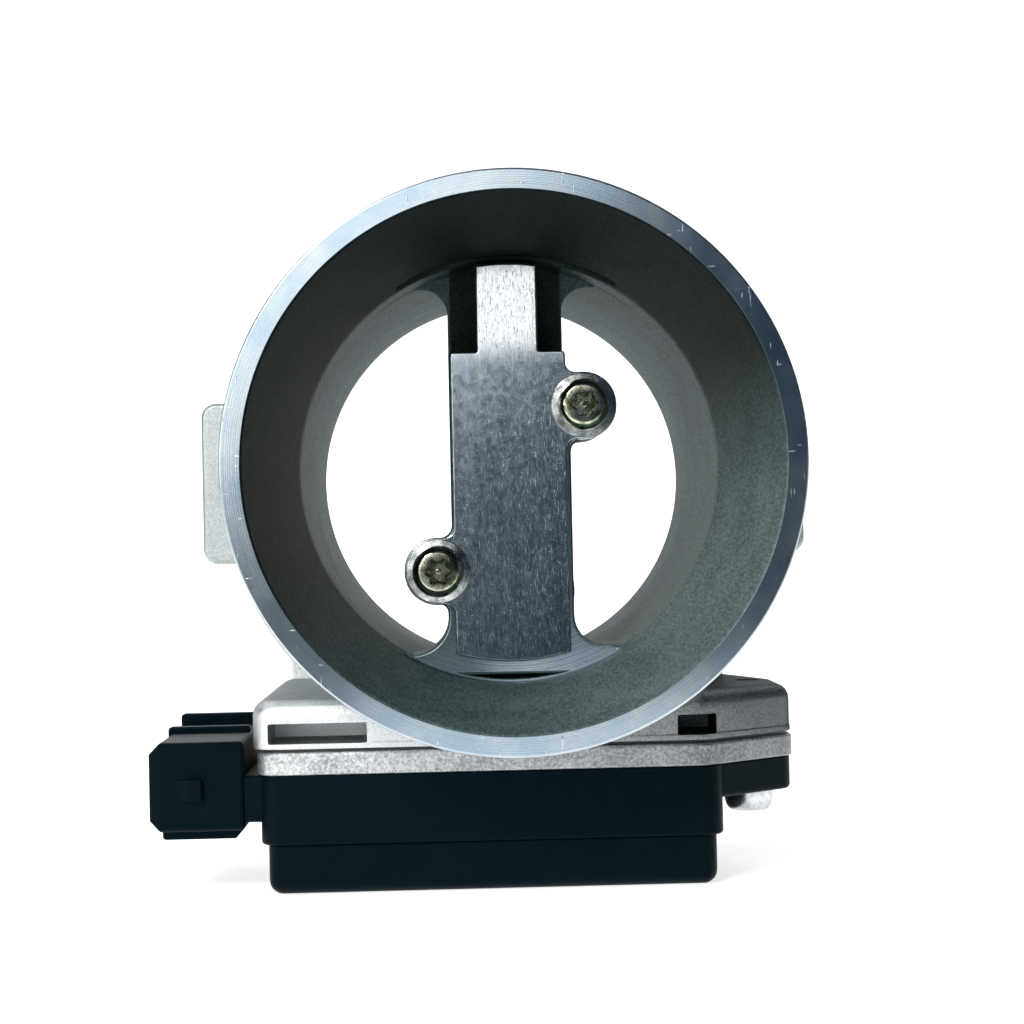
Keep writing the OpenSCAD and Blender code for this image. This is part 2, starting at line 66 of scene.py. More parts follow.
MM = 0.001
ROOT = "root"
WELD = 1e-7          # metres; points of a new mesh closer than this are one
CARVED_WELD = 2e-7   # metres; the same after the boolean cuts
FLAT_RIM = 0.07      # millimetres; width of the ring that keeps an end face's shading flat
DUCT_STEPS = 208     # steps round the duct's wall and everything that follows it
HOLE_STEPS = 40      # steps round a small hole
CLEAR_R = 2.25       # millimetres; radius of a clearance hole for the M4 screws
PLATE_SCREWS = ((11.5, 9.6), (-11.4, -15.6))        # x and z of the bypass plate's screws
MODULE_SCREWS = ((38.0, -40.0), (-33.4, -12.4))     # x and y of the module's screws
STEM_Y = -30.0       # y of the sensor's stem
OUTLET_Z = 18.1      # height from which the bypass's outlets are open
log = logging.getLogger("air_flow_meter")


class Axis(Enum):
    """The row axis along which an outline is pushed, and the two axes that the outline lies in."""

    X = (1, 2, 0)
    Y = (0, 2, 1)
    Z = (0, 1, 2)


class Cut(Enum):
    """What is done to a solid with another one."""

    ADD = "UNION"
    REMOVE = "DIFFERENCE"
    KEEP_COMMON = "INTERSECT"


# ---------------------------------------------------------------- outlines


def arc(centre: tuple[float, float], radius: float, start: float, end: float, steps: int = 12) -> Array:
    """Points on an arc: centre plus radius times (cos, sin) of evenly spaced angles.

    Args:
        centre: The arc's centre.
        radius: Its radius.
        start: First angle in degrees.
        end: Last angle in degrees.
        steps: Number of intervals.

    Returns:
        An array of steps + 1 points.
    """
    angle = np.radians(np.linspace(start, end, steps + 1))
    return np.asarray(centre) + radius * np.column_stack([np.cos(angle), np.sin(angle)])


def circle(centre: tuple[float, float], radius: float, steps: int = 64) -> Array:
    """A closed circle, with its first point not repeated."""
    return arc(centre, radius, 0.0, 360.0, steps)[:-1]


def box_outline(x0: float, x1: float, y0: float, y1: float) -> Array:
    """The four corners of a rectangle, anticlockwise."""
    return np.array([[x0, y0], [x1, y0], [x1, y1], [x0, y1]])


def rounded(points: Array | list, radii: float | list[float], steps: int = 8) -> Array:
    """Rounds each corner of a closed outline with an arc that touches both of its sides.

    The arc's centre lies on the corner's bisector, radius / sin(half angle) away, and the arc runs
    between the feet of the perpendiculars from there to the two sides.

    Args:
        points: Corners in order.
        radii: One radius for all corners, or one for each; 0 keeps a corner sharp.
        steps: Intervals in each arc.

    Returns:
        The rounded outline.
    """
    corners = np.asarray(points, float)
    each = np.full(len(corners), radii) if np.isscalar(radii) else np.asarray(radii, float)
    before = np.roll(corners, 1, axis=0) - corners
    after = np.roll(corners, -1, axis=0) - corners
    before /= np.linalg.norm(before, axis=1, keepdims=True)
    after /= np.linalg.norm(after, axis=1, keepdims=True)
    half = np.arccos(np.clip((before * after).sum(1), -1, 1)) / 2
    out = []
    for corner, a, b, h, r in zip(corners, before, after, half, each):
        if r <= 0:
            out.append(corner[None])
            continue
        bisector = (a + b) / np.linalg.norm(a + b)
        centre = corner + bisector * r / math.sin(h)
        first = corner + a * r / math.tan(h) - centre
        last = corner + b * r / math.tan(h) - centre
        a0 = math.degrees(math.atan2(first[1], first[0]))
        turn = math.degrees(math.atan2(last[1], last[0])) - a0
        turn -= 360.0 * round(turn / 360.0)
        out.append(arc(tuple(centre), r, a0, a0 + turn, steps))
    return np.concatenate(out)


def inset(outline: Array, distance: Array) -> Array:
    """Moves a closed anticlockwise outline inwards by several distances at once.

    Each point goes along (n1 + n2) / (1 + n1 . n2), where n1 and n2 are the inward normals of its two
    sides, so straight sides stay parallel.

    Args:
        outline: Points in order.
        distance: One distance for each wanted copy.

    Returns:
        An array of copies, points and 2 coordinates.
    """
    ahead = np.roll(outline, -1, axis=0) - outline
    ahead /= np.maximum(np.linalg.norm(ahead, axis=1, keepdims=True), 1e-12)
    normal = np.column_stack([-ahead[:, 1], ahead[:, 0]])
    behind = np.roll(normal, 1, axis=0)
    share = (normal + behind) / (1 + (normal * behind).sum(1, keepdims=True))
    return outline[None] + np.asarray(distance)[:, None, None] * share[None]


# ---------------------------------------------------------------- solids


def solid_from_rings(name: str, rings: Array, capped: bool) -> bpy.types.Object:
    """Makes a closed mesh from a grid of points: quads between neighbours, both ways round.

    Args:
        name: The object's name.
        rings: Points in millimetres, as rings, points round each ring, and 3 coordinates.
        capped: True closes the first and last ring with a face each; False joins last to first.

    Returns:
        The object, with its faces outwards.
    """
    count, around = rings.shape[:2]
    index = np.arange(count * around).reshape(count, around)
    row = index if not capped else index[:-1]
    up = np.roll(index, -1, axis=0) if not capped else index[1:]
    quads = np.stack([row, np.roll(row, -1, axis=1), np.roll(up, -1, axis=1), up], axis=-1).reshape(-1, 4)
    faces: list = quads.tolist()
    if capped:
        faces += [index[0, ::-1].tolist(), index[-1].tolist()]
    mesh = bpy.data.meshes.new(name)
    mesh.from_pydata((rings.reshape(-1, 3) * MM).tolist(), [], faces)
    work = bmesh.new()
    work.from_mesh(mesh)
    bmesh.ops.remove_doubles(work, verts=work.verts, dist=WELD)
    bmesh.ops.triangulate(work, faces=[face for face in work.faces if len(face.verts) > 4], ngon_method="EAR_CLIP")
    if work.calc_volume(signed=True) < 0:
        bmesh.ops.reverse_faces(work, faces=work.faces)
    work.to_mesh(mesh)
    work.free()
    thing = bpy.data.objects.new(name, mesh)
    bpy.context.scene.collection.objects.link(thing)
    return thing


def edge_stations(low: float, high: float, low_r: float, high_r: float, steps: int = 5) -> Array:
    """Depth and inset of the rings of a prism whose two end edges are rounded by quarter circles.

    A ring goes in by r (1 - cos a) and back by r (1 - sin a); one more ring, just inside a rounded
    edge, keeps the end face's shading flat.

    Args:
        low: Depth of the first end.
        high: Depth of the last end.
        low_r: Rounding at the first end, or 0.
        high_r: Rounding at the last end, or 0.
        steps: Intervals in each rounding.

    Returns:
        Rows of depth and inset.
    """
    a = np.radians(np.linspace(0, 90, steps + 1))
    rows = []
    for end, r, way in ((low, low_r, 1.0), (high, high_r, -1.0)):
        row = np.array([[end, 0.0]])
        if r > 0:
            row = np.column_stack([end + way * r * (1 - np.sin(a)), r * (1 - np.cos(a))])
            row = np.concatenate([row, [[end, r + FLAT_RIM]]])
        rows.append(row[::-1] if way > 0 else row)
    return np.concatenate(rows)


def prism(name: str, outline: Array, axis: Axis, low: float, high: float,
          low_r: float = 0.0, high_r: float = 0.0, stations: Array | None = None) -> bpy.types.Object:
    """Pushes an outline along an axis; the rings near each end step inwards to round its edge.

    Args:
        name: The object's name.
        outline: Anticlockwise points in the axis's plane.
        axis: The direction of the push.
        low: Start of the push.
        high: End of the push.
        low_r: Rounding of the edge at the start.
        high_r: Rounding of the edge at the end.
        stations: Rows of depth and inset that replace the plain rounding.

    Returns:
        The closed prism.
    """
    rows = edge_stations(low, high, low_r, high_r) if stations is None else stations
    flat = inset(outline, rows[:, 1])
    u, v, w = axis.value
    rings = np.empty(flat.shape[:2] + (3,))
    rings[..., u] = flat[..., 0]
    rings[..., v] = flat[..., 1]
    rings[..., w] = rows[:, :1]
    return solid_from_rings(name, rings, capped=True)


def turned(name: str, profile: Array, axis: Axis = Axis.Y, centre: tuple[float, float] = (0.0, 0.0),
           segments: int = 96) -> bpy.types.Object:
    """Turns a closed profile of (radius, height) about an axis through a centre.

    The point at radius r and angle t is centre + r (cos t, sin t).

    Args:
        name: The object's name.
        profile: Closed loop of radius and height; it may touch radius 0 at its two ends.
        axis: The axis of turning.
        centre: Where the axis crosses the plane of the other two axes.
        segments: Steps in a full turn.

    Returns:
        The closed solid.
    """
    angle = np.linspace(0, 2 * np.pi, segments, endpoint=False)[:, None]
    radius = profile[None, :, 0]
    u, v, w = axis.value
    rings = np.empty((segments, len(profile), 3))
    rings[..., u] = centre[0] + radius * np.cos(angle)
    rings[..., v] = centre[1] + radius * np.sin(angle)
    rings[..., w] = profile[None, :, 1]
    return solid_from_rings(name, rings, capped=False)


def rod(name: str, axis: Axis, centre: tuple[float, float], radius: float, low: float, high: float,
        low_r: float = 0.0, high_r: float = 0.0, segments: int = 64) -> bpy.types.Object:
    """A round rod with rounded end edges."""
    return prism(name, circle(centre, radius, segments), axis, low, high, low_r, high_r)


def block(name: str, low: tuple[float, float, float], high: tuple[float, float, float],
          corner: float = 0.0, edge: float = 0.0) -> bpy.types.Object:
    """A block along Y with rounded corners in the x-z plane and rounded end edges.

    Args:
        name: The object's name.
        low: Its lowest corner.
        high: Its highest corner.
        corner: Rounding of the corners in the x-z plane.
        edge: Rounding of the two end edges.

    Returns:
        The block.
    """
    outline = box_outline(low[0], high[0], low[2], high[2])
    outline = rounded(outline, corner, 4) if corner > 0 else outline
    return prism(name, outline, Axis.Y, low[1], high[1], edge, edge)


def carve(target: bpy.types.Object, tools: list[bpy.types.Object], how: Cut) -> bpy.types.Object:
    """Adds tools to a solid, takes them away or keeps the common part, and deletes the tools.

    Args:
        target: The solid that is changed.
        tools: Solids used one after another.
        how: The operation.

    Returns:
        The target.
    """
    for tool in tools:
        modifier = target.modifiers.new("carve", "BOOLEAN")
        modifier.operation = how.value
        modifier.solver = "MANIFOLD"
        modifier.object = tool
        bpy.context.view_layer.update()
        graph = bpy.context.evaluated_depsgraph_get()
        result = bpy.data.meshes.new_from_object(target.evaluated_get(graph))
        target.modifiers.clear()
        old = target.data
        target.data = result
        bpy.data.meshes.remove(old)
        shape = tool.data
        bpy.data.objects.remove(tool)
        bpy.data.meshes.remove(shape)
    return target


def smooth(thing: bpy.types.Object, angle: float = 32.0) -> None:
    """Shades a mesh smooth but for edges sharper than an angle, with flat faces kept flat.

    Args:
        thing: The piece.
        angle: Edges sharper than this many degrees stay sharp.
    """
    mesh = thing.data
    work = bmesh.new()
    work.from_mesh(mesh)
    bmesh.ops.remove_doubles(work, verts=work.verts, dist=CARVED_WELD)
    bmesh.ops.dissolve_degenerate(work, edges=work.edges, dist=CARVED_WELD)
    bmesh.ops.delete(work, geom=[edge for edge in work.edges if edge.is_wire], context="EDGES")
    bmesh.ops.triangulate(work, faces=[face for face in work.faces if len(face.verts) > 4], ngon_method="EAR_CLIP")
    work.to_mesh(mesh)
    work.free()
    mesh.shade_smooth()
    mesh.set_sharp_from_angle(angle=math.radians(angle))
    weighted = thing.modifiers.new("even_shading", "WEIGHTED_NORMAL")
    weighted.keep_sharp = True
    weighted.weight = 100


# ---------------------------------------------------------------- shader building


def find_socket(sockets: bpy.types.bpy_prop_collection, key: str) -> bpy.types.NodeSocket:
    """Finds a socket by its identifier, or else by its name."""
    for socket in sockets:
        if socket.identifier == key:
            return socket
    return sockets[key]


class Value:
    """A number in a shader, so that sums on it are written as Python expressions."""

    def __init__(self, shader: "Shader", socket: bpy.types.NodeSocket) -> None:
        """Keeps the shader and the socket that carries the number."""
        self.shader = shader
        self.socket = socket

    def math(self, operation: str, first: object, second: object = None) -> "Value":
        """Adds one Math node and returns its result.

        Args:
            operation: The node's operation.
            first: Its first number or value.
            second: Its second one, where it takes two.

        Returns:
            The result.
        """
        inputs = {"Value": first} if second is None else {"Value": first, "Value_001": second}
        node = self.shader.node("ShaderNodeMath", {"operation": operation}, inputs)
        return Value(self.shader, node.outputs[0])

    def __add__(self, other: object) -> "Value":
        """self + other."""
        return self.math("ADD", self, other)

    __radd__ = __add__

    def __sub__(self, other: object) -> "Value":
        """self - other."""
        return self.math("SUBTRACT", self, other)

    def __rsub__(self, other: object) -> "Value":
        """other - self."""
        return self.math("SUBTRACT", other, self)

    def __mul__(self, other: object) -> "Value":
        """self * other."""
        return self.math("MULTIPLY", self, other)

    __rmul__ = __mul__

    def __truediv__(self, other: object) -> "Value":
        """self / other."""
        return self.math("DIVIDE", self, other)

    def __pow__(self, other: object) -> "Value":
        """self ** other."""
        return self.math("POWER", self, other)

    def __neg__(self) -> "Value":
        """-self."""
        return self.math("MULTIPLY", self, -1.0)

    def __abs__(self) -> "Value":
        """abs(self)."""
        return self.math("ABSOLUTE", self)

    def larger(self, other: object) -> "Value":
        """The larger of two numbers."""
        return self.math("MAXIMUM", self, other)

    def smaller(self, other: object) -> "Value":
        """The smaller of two numbers."""
        return self.math("MINIMUM", self, other)

    def rise(self, low: float, high: float) -> "Value":
        """0 below low, 1 above high and a smooth step between; low > high falls instead.

        Args:
            low: Where the step starts.
            high: Where it ends.

        Returns:
            The step.
        """
        inputs = {"Value": self, "From Min": min(low, high), "From Max": max(low, high),
                  "To Min": 0.0 if low < high else 1.0, "To Max": 1.0 if low < high else 0.0}
        node = self.shader.node("ShaderNodeMapRange", {"interpolation_type": "SMOOTHSTEP"}, inputs)
        return Value(self.shader, node.outputs[0])


class Shader:
    """One material's node tree, with the few kinds of node that the finishes use."""

    def __init__(self, name: str) -> None:
        """Starts an empty material that reads object coordinates in millimetres.

        Args:
            name: The material's name.
        """
        self.material = bpy.data.materials.new(name)
        self.material.use_nodes = True
        self.tree = self.material.node_tree
        self.tree.nodes.clear()
        place = self.node("ShaderNodeTexCoord").outputs["Object"]
        self.place = self.node("ShaderNodeVectorMath", {"operation": "SCALE"},
                               {"Vector": place, "Scale": 1 / MM}).outputs[0]
        self.x, self.y, self.z = self.split(self.place)
        self.facing = self.node("ShaderNodeNewGeometry").outputs["Normal"]
        self.ny = self.split(self.facing)[1]

    def node(self, kind: str, settings: dict | None = None, inputs: dict | None = None) -> bpy.types.Node:
        """Adds a node: its settings first, then the values or links of its sockets.

        Args:
            kind: The node's type name.
            settings: Attributes of the node.
            inputs: Socket identifiers or names, each with a number, a colour, a Value or a socket.

        Returns:
            The node.
        """
        node = self.tree.nodes.new(kind)
        for key, setting in (settings or {}).items():
            setattr(node, key, setting)
        for key, given in (inputs or {}).items():
            socket = find_socket(node.inputs, key)
            if isinstance(given, Value):
                self.tree.links.new(given.socket, socket)
            elif isinstance(given, bpy.types.NodeSocket):
                self.tree.links.new(given, socket)
            elif isinstance(given, tuple) and len(given) == 3 and socket.type == "RGBA":
                socket.default_value = (*given, 1.0)
            else:
                socket.default_value = given
        return node

    def split(self, vector: bpy.types.NodeSocket) -> tuple[Value, Value, Value]:
        """The three components of a vector."""
        node = self.node("ShaderNodeSeparateXYZ", None, {"Vector": vector})
        return tuple(Value(self, out) for out in node.outputs)

    def join(self, x: object, y: object, z: object) -> bpy.types.NodeSocket:
        """A vector from three components."""
        return self.node("ShaderNodeCombineXYZ", None, {"X": x, "Y": y, "Z": z}).outputs[0]

    def noise(self, scale: float | tuple[float, float, float], detail: float = 2.0, roughness: float = 0.5,
              turn: tuple[float, float, float] = (0.0, 0.0, 0.0),
              place: bpy.types.NodeSocket | None = None) -> Value:
        """Smooth noise about 0.5, with a number of waves per millimetre for each axis.

        Args:
            scale: Waves per millimetre, for all axes or for each.
            detail: Octaves of finer noise.
            roughness: Strength of the finer octaves.
            turn: Rotation of the pattern in radians.
            place: Vector to read instead of the object's own coordinates.

        Returns:
            The noise.
        """
        each = (scale,) * 3 if isinstance(scale, (int, float)) else scale
        mapped = self.node("ShaderNodeMapping", {"vector_type": "POINT"},
                           {"Vector": place or self.place, "Rotation": turn, "Scale": each}).outputs[0]
        node = self.node("ShaderNodeTexNoise", {"noise_dimensions": "3D"},
                         {"Vector": mapped, "Scale": 1.0, "Detail": detail, "Roughness": roughness})
        return Value(self, find_socket(node.outputs, "Fac"))

    def mix(self, factor: Value, low: Colour | bpy.types.NodeSocket,
            high: Colour | bpy.types.NodeSocket) -> bpy.types.NodeSocket:
        """Blends two colours by a factor."""
        node = self.node("ShaderNodeMix", {"data_type": "RGBA", "clamp_factor": True},
                         {"Factor_Float": factor, "A_Color": low, "B_Color": high})
        return find_socket(node.outputs, "Result_Color")

    def tilt(self, x: object, y: object, z: object) -> bpy.types.NodeSocket:
        """The surface's normal after a small vector is added to it."""
        total = self.node("ShaderNodeVectorMath", {"operation": "ADD"},
                          {"Vector": self.facing, "Vector_001": self.join(x, y, z)}).outputs[0]
        return self.node("ShaderNodeVectorMath", {"operation": "NORMALIZE"}, {"Vector": total}).outputs[0]

    def bump(self, height: Value, distance_mm: float,
             normal: bpy.types.NodeSocket | None = None) -> bpy.types.NodeSocket:
        """A normal bent by a height from 0 to 1, which stands for a distance in millimetres.

        Args:
            height: The height.
            distance_mm: The distance that a height of 1 stands for.
            normal: The normal that is bent, or the plain one.

        Returns:
            The bent normal.
        """
        inputs = {"Height": height, "Distance": distance_mm * MM, "Strength": 1.0}
        if normal is not None:
            inputs["Normal"] = normal
        return self.node("ShaderNodeBump", None, inputs).outputs[0]

    def surface(self, sockets: dict) -> bpy.types.Material:
        """Finishes the material with one principled shader.

        Args:
            sockets: Values and links of the shader's sockets.

        Returns:
            The material.
        """
        shader = self.node("ShaderNodeBsdfPrincipled", None, sockets)
        self.node("ShaderNodeOutputMaterial", None, {"Surface": shader.outputs[0]})
        return self.material


# ---------------------------------------------------------------- finishes


@dataclass(frozen=True)
class CastMetal:
    """Die-cast aluminium, with turned faces and spigots where the frame says that they are machined."""

    name: str
    lip_y: float
    strut_y: float
    flange_y: float
    outlet_r: float
    bore_r: float
    lip_bore_r: float
    light: Colour = (0.84, 0.87, 0.87)
    dark: Colour = (0.34, 0.38, 0.38)
    # painted shade laid on the right side of the saddle
    painted_shade_skin: Colour = (0.03, 0.04, 0.042)
    # painted light laid on the left side of the saddle
    painted_light_skin: Colour = (0.97, 0.98, 0.98)
    ear_skin: Colour = (0.36, 0.42, 0.42)
    inner_light: Colour = (0.22, 0.32, 0.31)
    inner_dark: Colour = (0.082, 0.126, 0.122)
    # painted shade for the upper and left side of the taper and for the bore
    painted_shade_tone: Colour = (0.004, 0.006, 0.006)
    # painted shade for the recessed outlets behind the plate
    pocket_painted_shade: Colour = (0.004, 0.005, 0.005)
    machined: Colour = (0.48, 0.62, 0.74)
    bright: Colour = (0.80, 0.89, 0.93)
    # painted shade: the dark sectors of the turned faces' reflection
    painted_sector_shade: Colour = (0.06, 0.10, 0.12)
    spigot: Colour = (0.58, 0.62, 0.65)
    spigot_bright: Colour = (0.84, 0.86, 0.88)
    nick: Colour = (0.95, 0.96, 0.97)
    spigot_len: float = 21.0
    grain_mm: float = 0.09

    def outer_skin(self, s: Shader, grain: Value, cloud: Value) -> bpy.types.NodeSocket:
        """Cast skin outside: grainy, with painted shade on the right and painted light on the left of the saddle.

        Args:
            s: The material's shader.
            grain: Fine noise.
            cloud: Wide noise.

        Returns:
            The colour.
        """
        tone = (grain * 0.85 + cloud * 0.3).rise(0.38, 0.74)
        low_down = (-s.z).rise(30.0, 36.0)
        # painted shade on the right of the saddle, the side that the lamps leave dark
        painted_shade_side = s.x.rise(-16.0, 42.0) * low_down
        # painted light on the left of the saddle, the side that faces the key light
        pale = (-s.x).rise(-5.0, 25.0) * low_down
        ear = abs(s.x).rise(41.0, 43.0) * s.z.rise(-22.0, -18.0)
        skin = s.mix(painted_shade_side * 0.72, s.mix(tone, self.dark, self.light), self.painted_shade_skin)
        skin = s.mix(pale * 0.6, skin, self.painted_light_skin)
        return s.mix(ear * 0.5, skin, self.ear_skin)

    def inner_wall(self, s: Shader, sand: Value, cloud: Value) -> bpy.types.NodeSocket:
        """Wall of the duct and strut: a sandy film, with painted shade above and to the left in the taper, an even
        painted shade through the bore and a deep painted shade in the outlets.

        Args:
            s: The material's shader.
            sand: Fine noise, drawn out along the duct.
            cloud: Wide noise.

        Returns:
            The colour.
        """
        film = (sand * 0.8 + cloud * 0.3).rise(0.36, 0.74)
        deep = s.y.rise(self.strut_y - 1.0, self.strut_y + 3.0)
        # painted shade: 1 leaves the film as it is; lower values darken the taper towards its top and left, and the
        # bore evenly
        unshaded_share = (s.x * 0.5 - s.z).rise(-4.0, 36.0) * (1.0 - deep) + deep * 0.70
        # painted shade in the outlet pockets behind the plate
        pocket = (9.0 - abs(s.x)).rise(0.0, 0.4) * s.y.rise(self.strut_y + 0.2, self.strut_y + 1.5)
        wall = s.mix(film, self.inner_dark, self.inner_light)
        wall = s.mix((1.0 - unshaded_share) * 0.94, wall, self.painted_shade_tone)
        return s.mix(pocket * 0.75, wall, self.pocket_painted_shade)

    def material(self) -> bpy.types.Material:
        """Grain everywhere, and fine turning grooves on the machined faces.

        Returns:
            The material.
        """
        s = Shader(self.name)
        radius = (s.x * s.x + s.z * s.z) ** 0.5
        front = (-s.ny).rise(0.93, 0.99)
        back = s.ny.rise(0.93, 0.99)
        past_bore = radius.rise(self.bore_r + 1.2, self.bore_r + 0.8)
        lip = front * s.y.rise(self.lip_y + 1.0, self.lip_y + 0.5)
        strut_face = front * abs(s.y - self.strut_y).rise(0.3, 0.1) * s.z.rise(12.0, 8.0) * past_bore
        rear_face = back * abs(s.y - self.flange_y).rise(0.3, 0.1)
        inlet = s.y.rise(self.flange_y + 0.05, self.flange_y + 0.2)
        inlet = inlet * radius.rise(self.bore_r + 0.4, self.bore_r + 1.0)
        shoulder = self.lip_y + self.spigot_len
        spigot = radius.rise(self.outlet_r - 0.8, self.outlet_r - 0.3) * s.y.rise(shoulder + 0.5, shoulder - 0.5)
        turned_mask = lip.larger(strut_face).larger(rear_face).larger(inlet).larger(spigot)
        taper = ((self.strut_y - s.y) * (1.0 / (self.strut_y - self.lip_y))).larger(0.0).smaller(1.0)
        wall_r = taper * (self.lip_bore_r - self.bore_r) + self.bore_r
        inside = (wall_r - radius).rise(-1.5, -1.1)
        grain = s.noise(2.6, 5.0, 0.68)
        fine = s.noise(9.0, 3.0, 0.6)
        cloud = s.noise(0.11, 4.0, 0.6)
        sand = s.noise((2.4, 0.6, 2.4), 4.0, 0.7)
        cast = s.mix(inside, self.outer_skin(s, grain, cloud), self.inner_wall(s, sand, cloud))
        track = s.join(0.0, radius + s.y * 0.9, 0.0)
        groove = s.noise((0.0, 9.0, 0.0), 3.0, 0.6, place=track)
        coarse = s.noise((0.0, 1.6, 0.0), 2.0, 0.5, place=track)
        stain = s.noise(0.10, 5.0, 0.62)
        nick = s.noise((2.6, 0.2, 0.30), 1.0, 0.5, (0.0, 0.35, 0.0)).rise(0.735, 0.78)
        nick = nick.larger(s.noise((0.34, 0.2, 2.9), 1.0, 0.5, (0.0, 0.5, 0.0)).rise(0.74, 0.78))
        flat = lip.larger(strut_face)
        streaks = (groove * 0.5 + stain * 0.7).rise(0.42, 0.86)
        # painted shade on the lower left of the outlet face and on the left of the strut's facing, the dark sectors
        # of their reflection
        wear_and_painted_shade = lip * (-s.x).rise(16.0, 30.0) * (-s.z).rise(10.0, 28.0) * 0.45
        wear_and_painted_shade = wear_and_painted_shade.larger(strut_face * (-s.x).rise(-2.0, 8.0) * 0.75)
        faced = s.mix(wear_and_painted_shade, s.mix(streaks, self.machined, self.bright), self.painted_sector_shade)
        shine = s.mix(flat, s.mix(streaks, self.spigot, self.spigot_bright), faced)
        colour = s.mix(turned_mask, cast, s.mix(nick * 0.8, shine, self.nick))
        lean = (groove - 0.5) * turned_mask * 0.20 / radius.larger(1.0)
        normal = s.tilt(s.x * lean, (coarse - 0.5) * turned_mask * 0.004, s.z * lean)
        grit = grain * (1.0 - inside) * 0.9 + sand * inside * 0.6 + fine * 0.35
        height = grit * (1.0 - turned_mask) + nick * turned_mask * 0.2
        rough = 0.37 + (grain - 0.5) * 0.35 + inside * 0.16
        rough = rough * (1.0 - turned_mask) + (0.26 - flat * 0.14 + stain * 0.10) * turned_mask
        return s.surface({
            "Base Color": colour, "Metallic": 1.0 - inside * (1.0 - turned_mask) * 0.75, "Roughness": rough,
            "Specular IOR Level": 0.08, "Specular Tint": (0.10, 0.11, 0.12, 1.0),
            "Normal": s.bump(height, self.grain_mm, normal)})


@dataclass(frozen=True)
class GritCast:
    """Coarser die-cast plate with a bright sparkle."""

    name: str
    light: Colour = (0.86, 0.87, 0.87)
    dark: Colour = (0.30, 0.32, 0.33)
    # painted shade for the right side of the plate
    painted_shade_side: Colour = (0.05, 0.06, 0.065)
    grain_mm: float = 0.13

    def material(self) -> bpy.types.Material:
        """Coarse grain in colour, roughness and height; painted shade darkens the right side.

        Returns:
            The material.
        """
        s = Shader(self.name)
        grain = s.noise(2.2, 5.0, 0.72)
        cloud = s.noise(0.15, 3.0, 0.6)
        colour = s.mix((grain * 0.8 + cloud * 0.3).rise(0.38, 0.72), self.dark, self.light)
        # painted shade towards the right side
        colour = s.mix(s.x.rise(-24.0, 40.0) * 0.45, colour, self.painted_shade_side)
        return s.surface({"Base Color": colour, "Metallic": 1.0, "Roughness": 0.28 + grain * 0.28,
                          "Normal": s.bump(grain, self.grain_mm)})


@dataclass(frozen=True)
class BrushedSheet:
    """Aluminium sheet brushed along Z, with pits and handling scratches."""

    name: str
    top_z: float
    base: Colour = (0.33, 0.43, 0.52)
    streak: Colour = (0.68, 0.78, 0.84)
    scratch: Colour = (0.92, 0.95, 0.98)
    pit: Colour = (0.10, 0.11, 0.12)
    # painted highlight colour for the tongue
    tongue: Colour = (0.97, 0.98, 1.0)
    # painted shade colour for the plate's foot
    foot: Colour = (0.05, 0.11, 0.14)
    relief_mm: float = 0.02

    def material(self) -> bpy.types.Material:
        """Long streaks that lean the normal sideways, short scratches, dark pits, a painted highlight on the
        tongue, painted shade at the foot.

        Returns:
            The material.
        """
        s = Shader(self.name)
        brush = s.noise((7.0, 1.0, 0.16), 4.0, 0.62)
        wide = s.noise((0.5, 0.1, 0.07), 3.0, 0.6)
        mottle = s.noise(0.9, 5.0, 0.7)
        marks = s.noise((9.0, 1.0, 0.5), 1.0, 0.5, (0.0, 0.30, 0.0)).rise(0.72, 0.78)
        for turn, long in ((-0.55, 0.6), (0.85, 0.8), (-1.2, 0.7), (1.5, 0.45), (2.2, 0.9)):
            marks = marks.larger(s.noise((9.0, 1.0, long), 1.0, 0.5, (0.0, turn, 0.0)).rise(0.715, 0.77))
        pits = s.noise(3.2, 3.0, 0.6).rise(0.33, 0.26)
        tone = (brush * 0.45 + wide * 0.35 + mottle * 0.5).rise(0.42, 0.86)
        colour = s.mix(tone, self.base, self.streak)
        colour = s.mix(marks * 0.65, colour, self.scratch)
        colour = s.mix(pits * 0.75, colour, self.pit)
        # painted highlight on the tongue
        colour = s.mix(s.z.rise(self.top_z - 3.0, self.top_z + 2.0) * 0.7, colour, self.tongue)
        # painted shade, darker towards the foot
        colour = s.mix((-s.z).rise(2.0, 26.0) * 0.45, colour, self.foot)
        lean = (brush - 0.5) * 0.09 + (mottle - 0.5) * 0.04
        bow = s.z.rise(self.top_z - 3.0, self.top_z + 6.0) * 0.055 + (-s.z).rise(2.0, 28.0) * 0.045
        normal = s.tilt(lean - 0.012, 0.0, (mottle - 0.5) * 0.05 + bow + 0.007)
        rough = 0.11 + mottle * 0.10 + marks * 0.10
        return s.surface({"Base Color": colour, "Metallic": 1.0, "Roughness": rough,
                          "Normal": s.bump(marks - pits, self.relief_mm, normal)})


@dataclass(frozen=True)
class PlatedSteel:
    """Zinc-plated steel: thin cloudy film over fine marks."""

    name: str
    base: Colour
    film: Colour
    rough: float = 0.27

    def material(self) -> bpy.types.Material:
        """Cloudy film colour and small handling marks.

        Returns:
            The material.
        """
        s = Shader(self.name)
        cloud = s.noise(0.55, 4.0, 0.6)
        fine = s.noise(6.0, 3.0, 0.6)
        colour = s.mix((cloud * 0.7 + fine * 0.4).rise(0.44, 0.66), self.base, self.film)
        return s.surface({"Base Color": colour, "Metallic": 1.0, "Roughness": self.rough + (fine - 0.5) * 0.2,
                          "Normal": s.bump(fine, 0.012)})


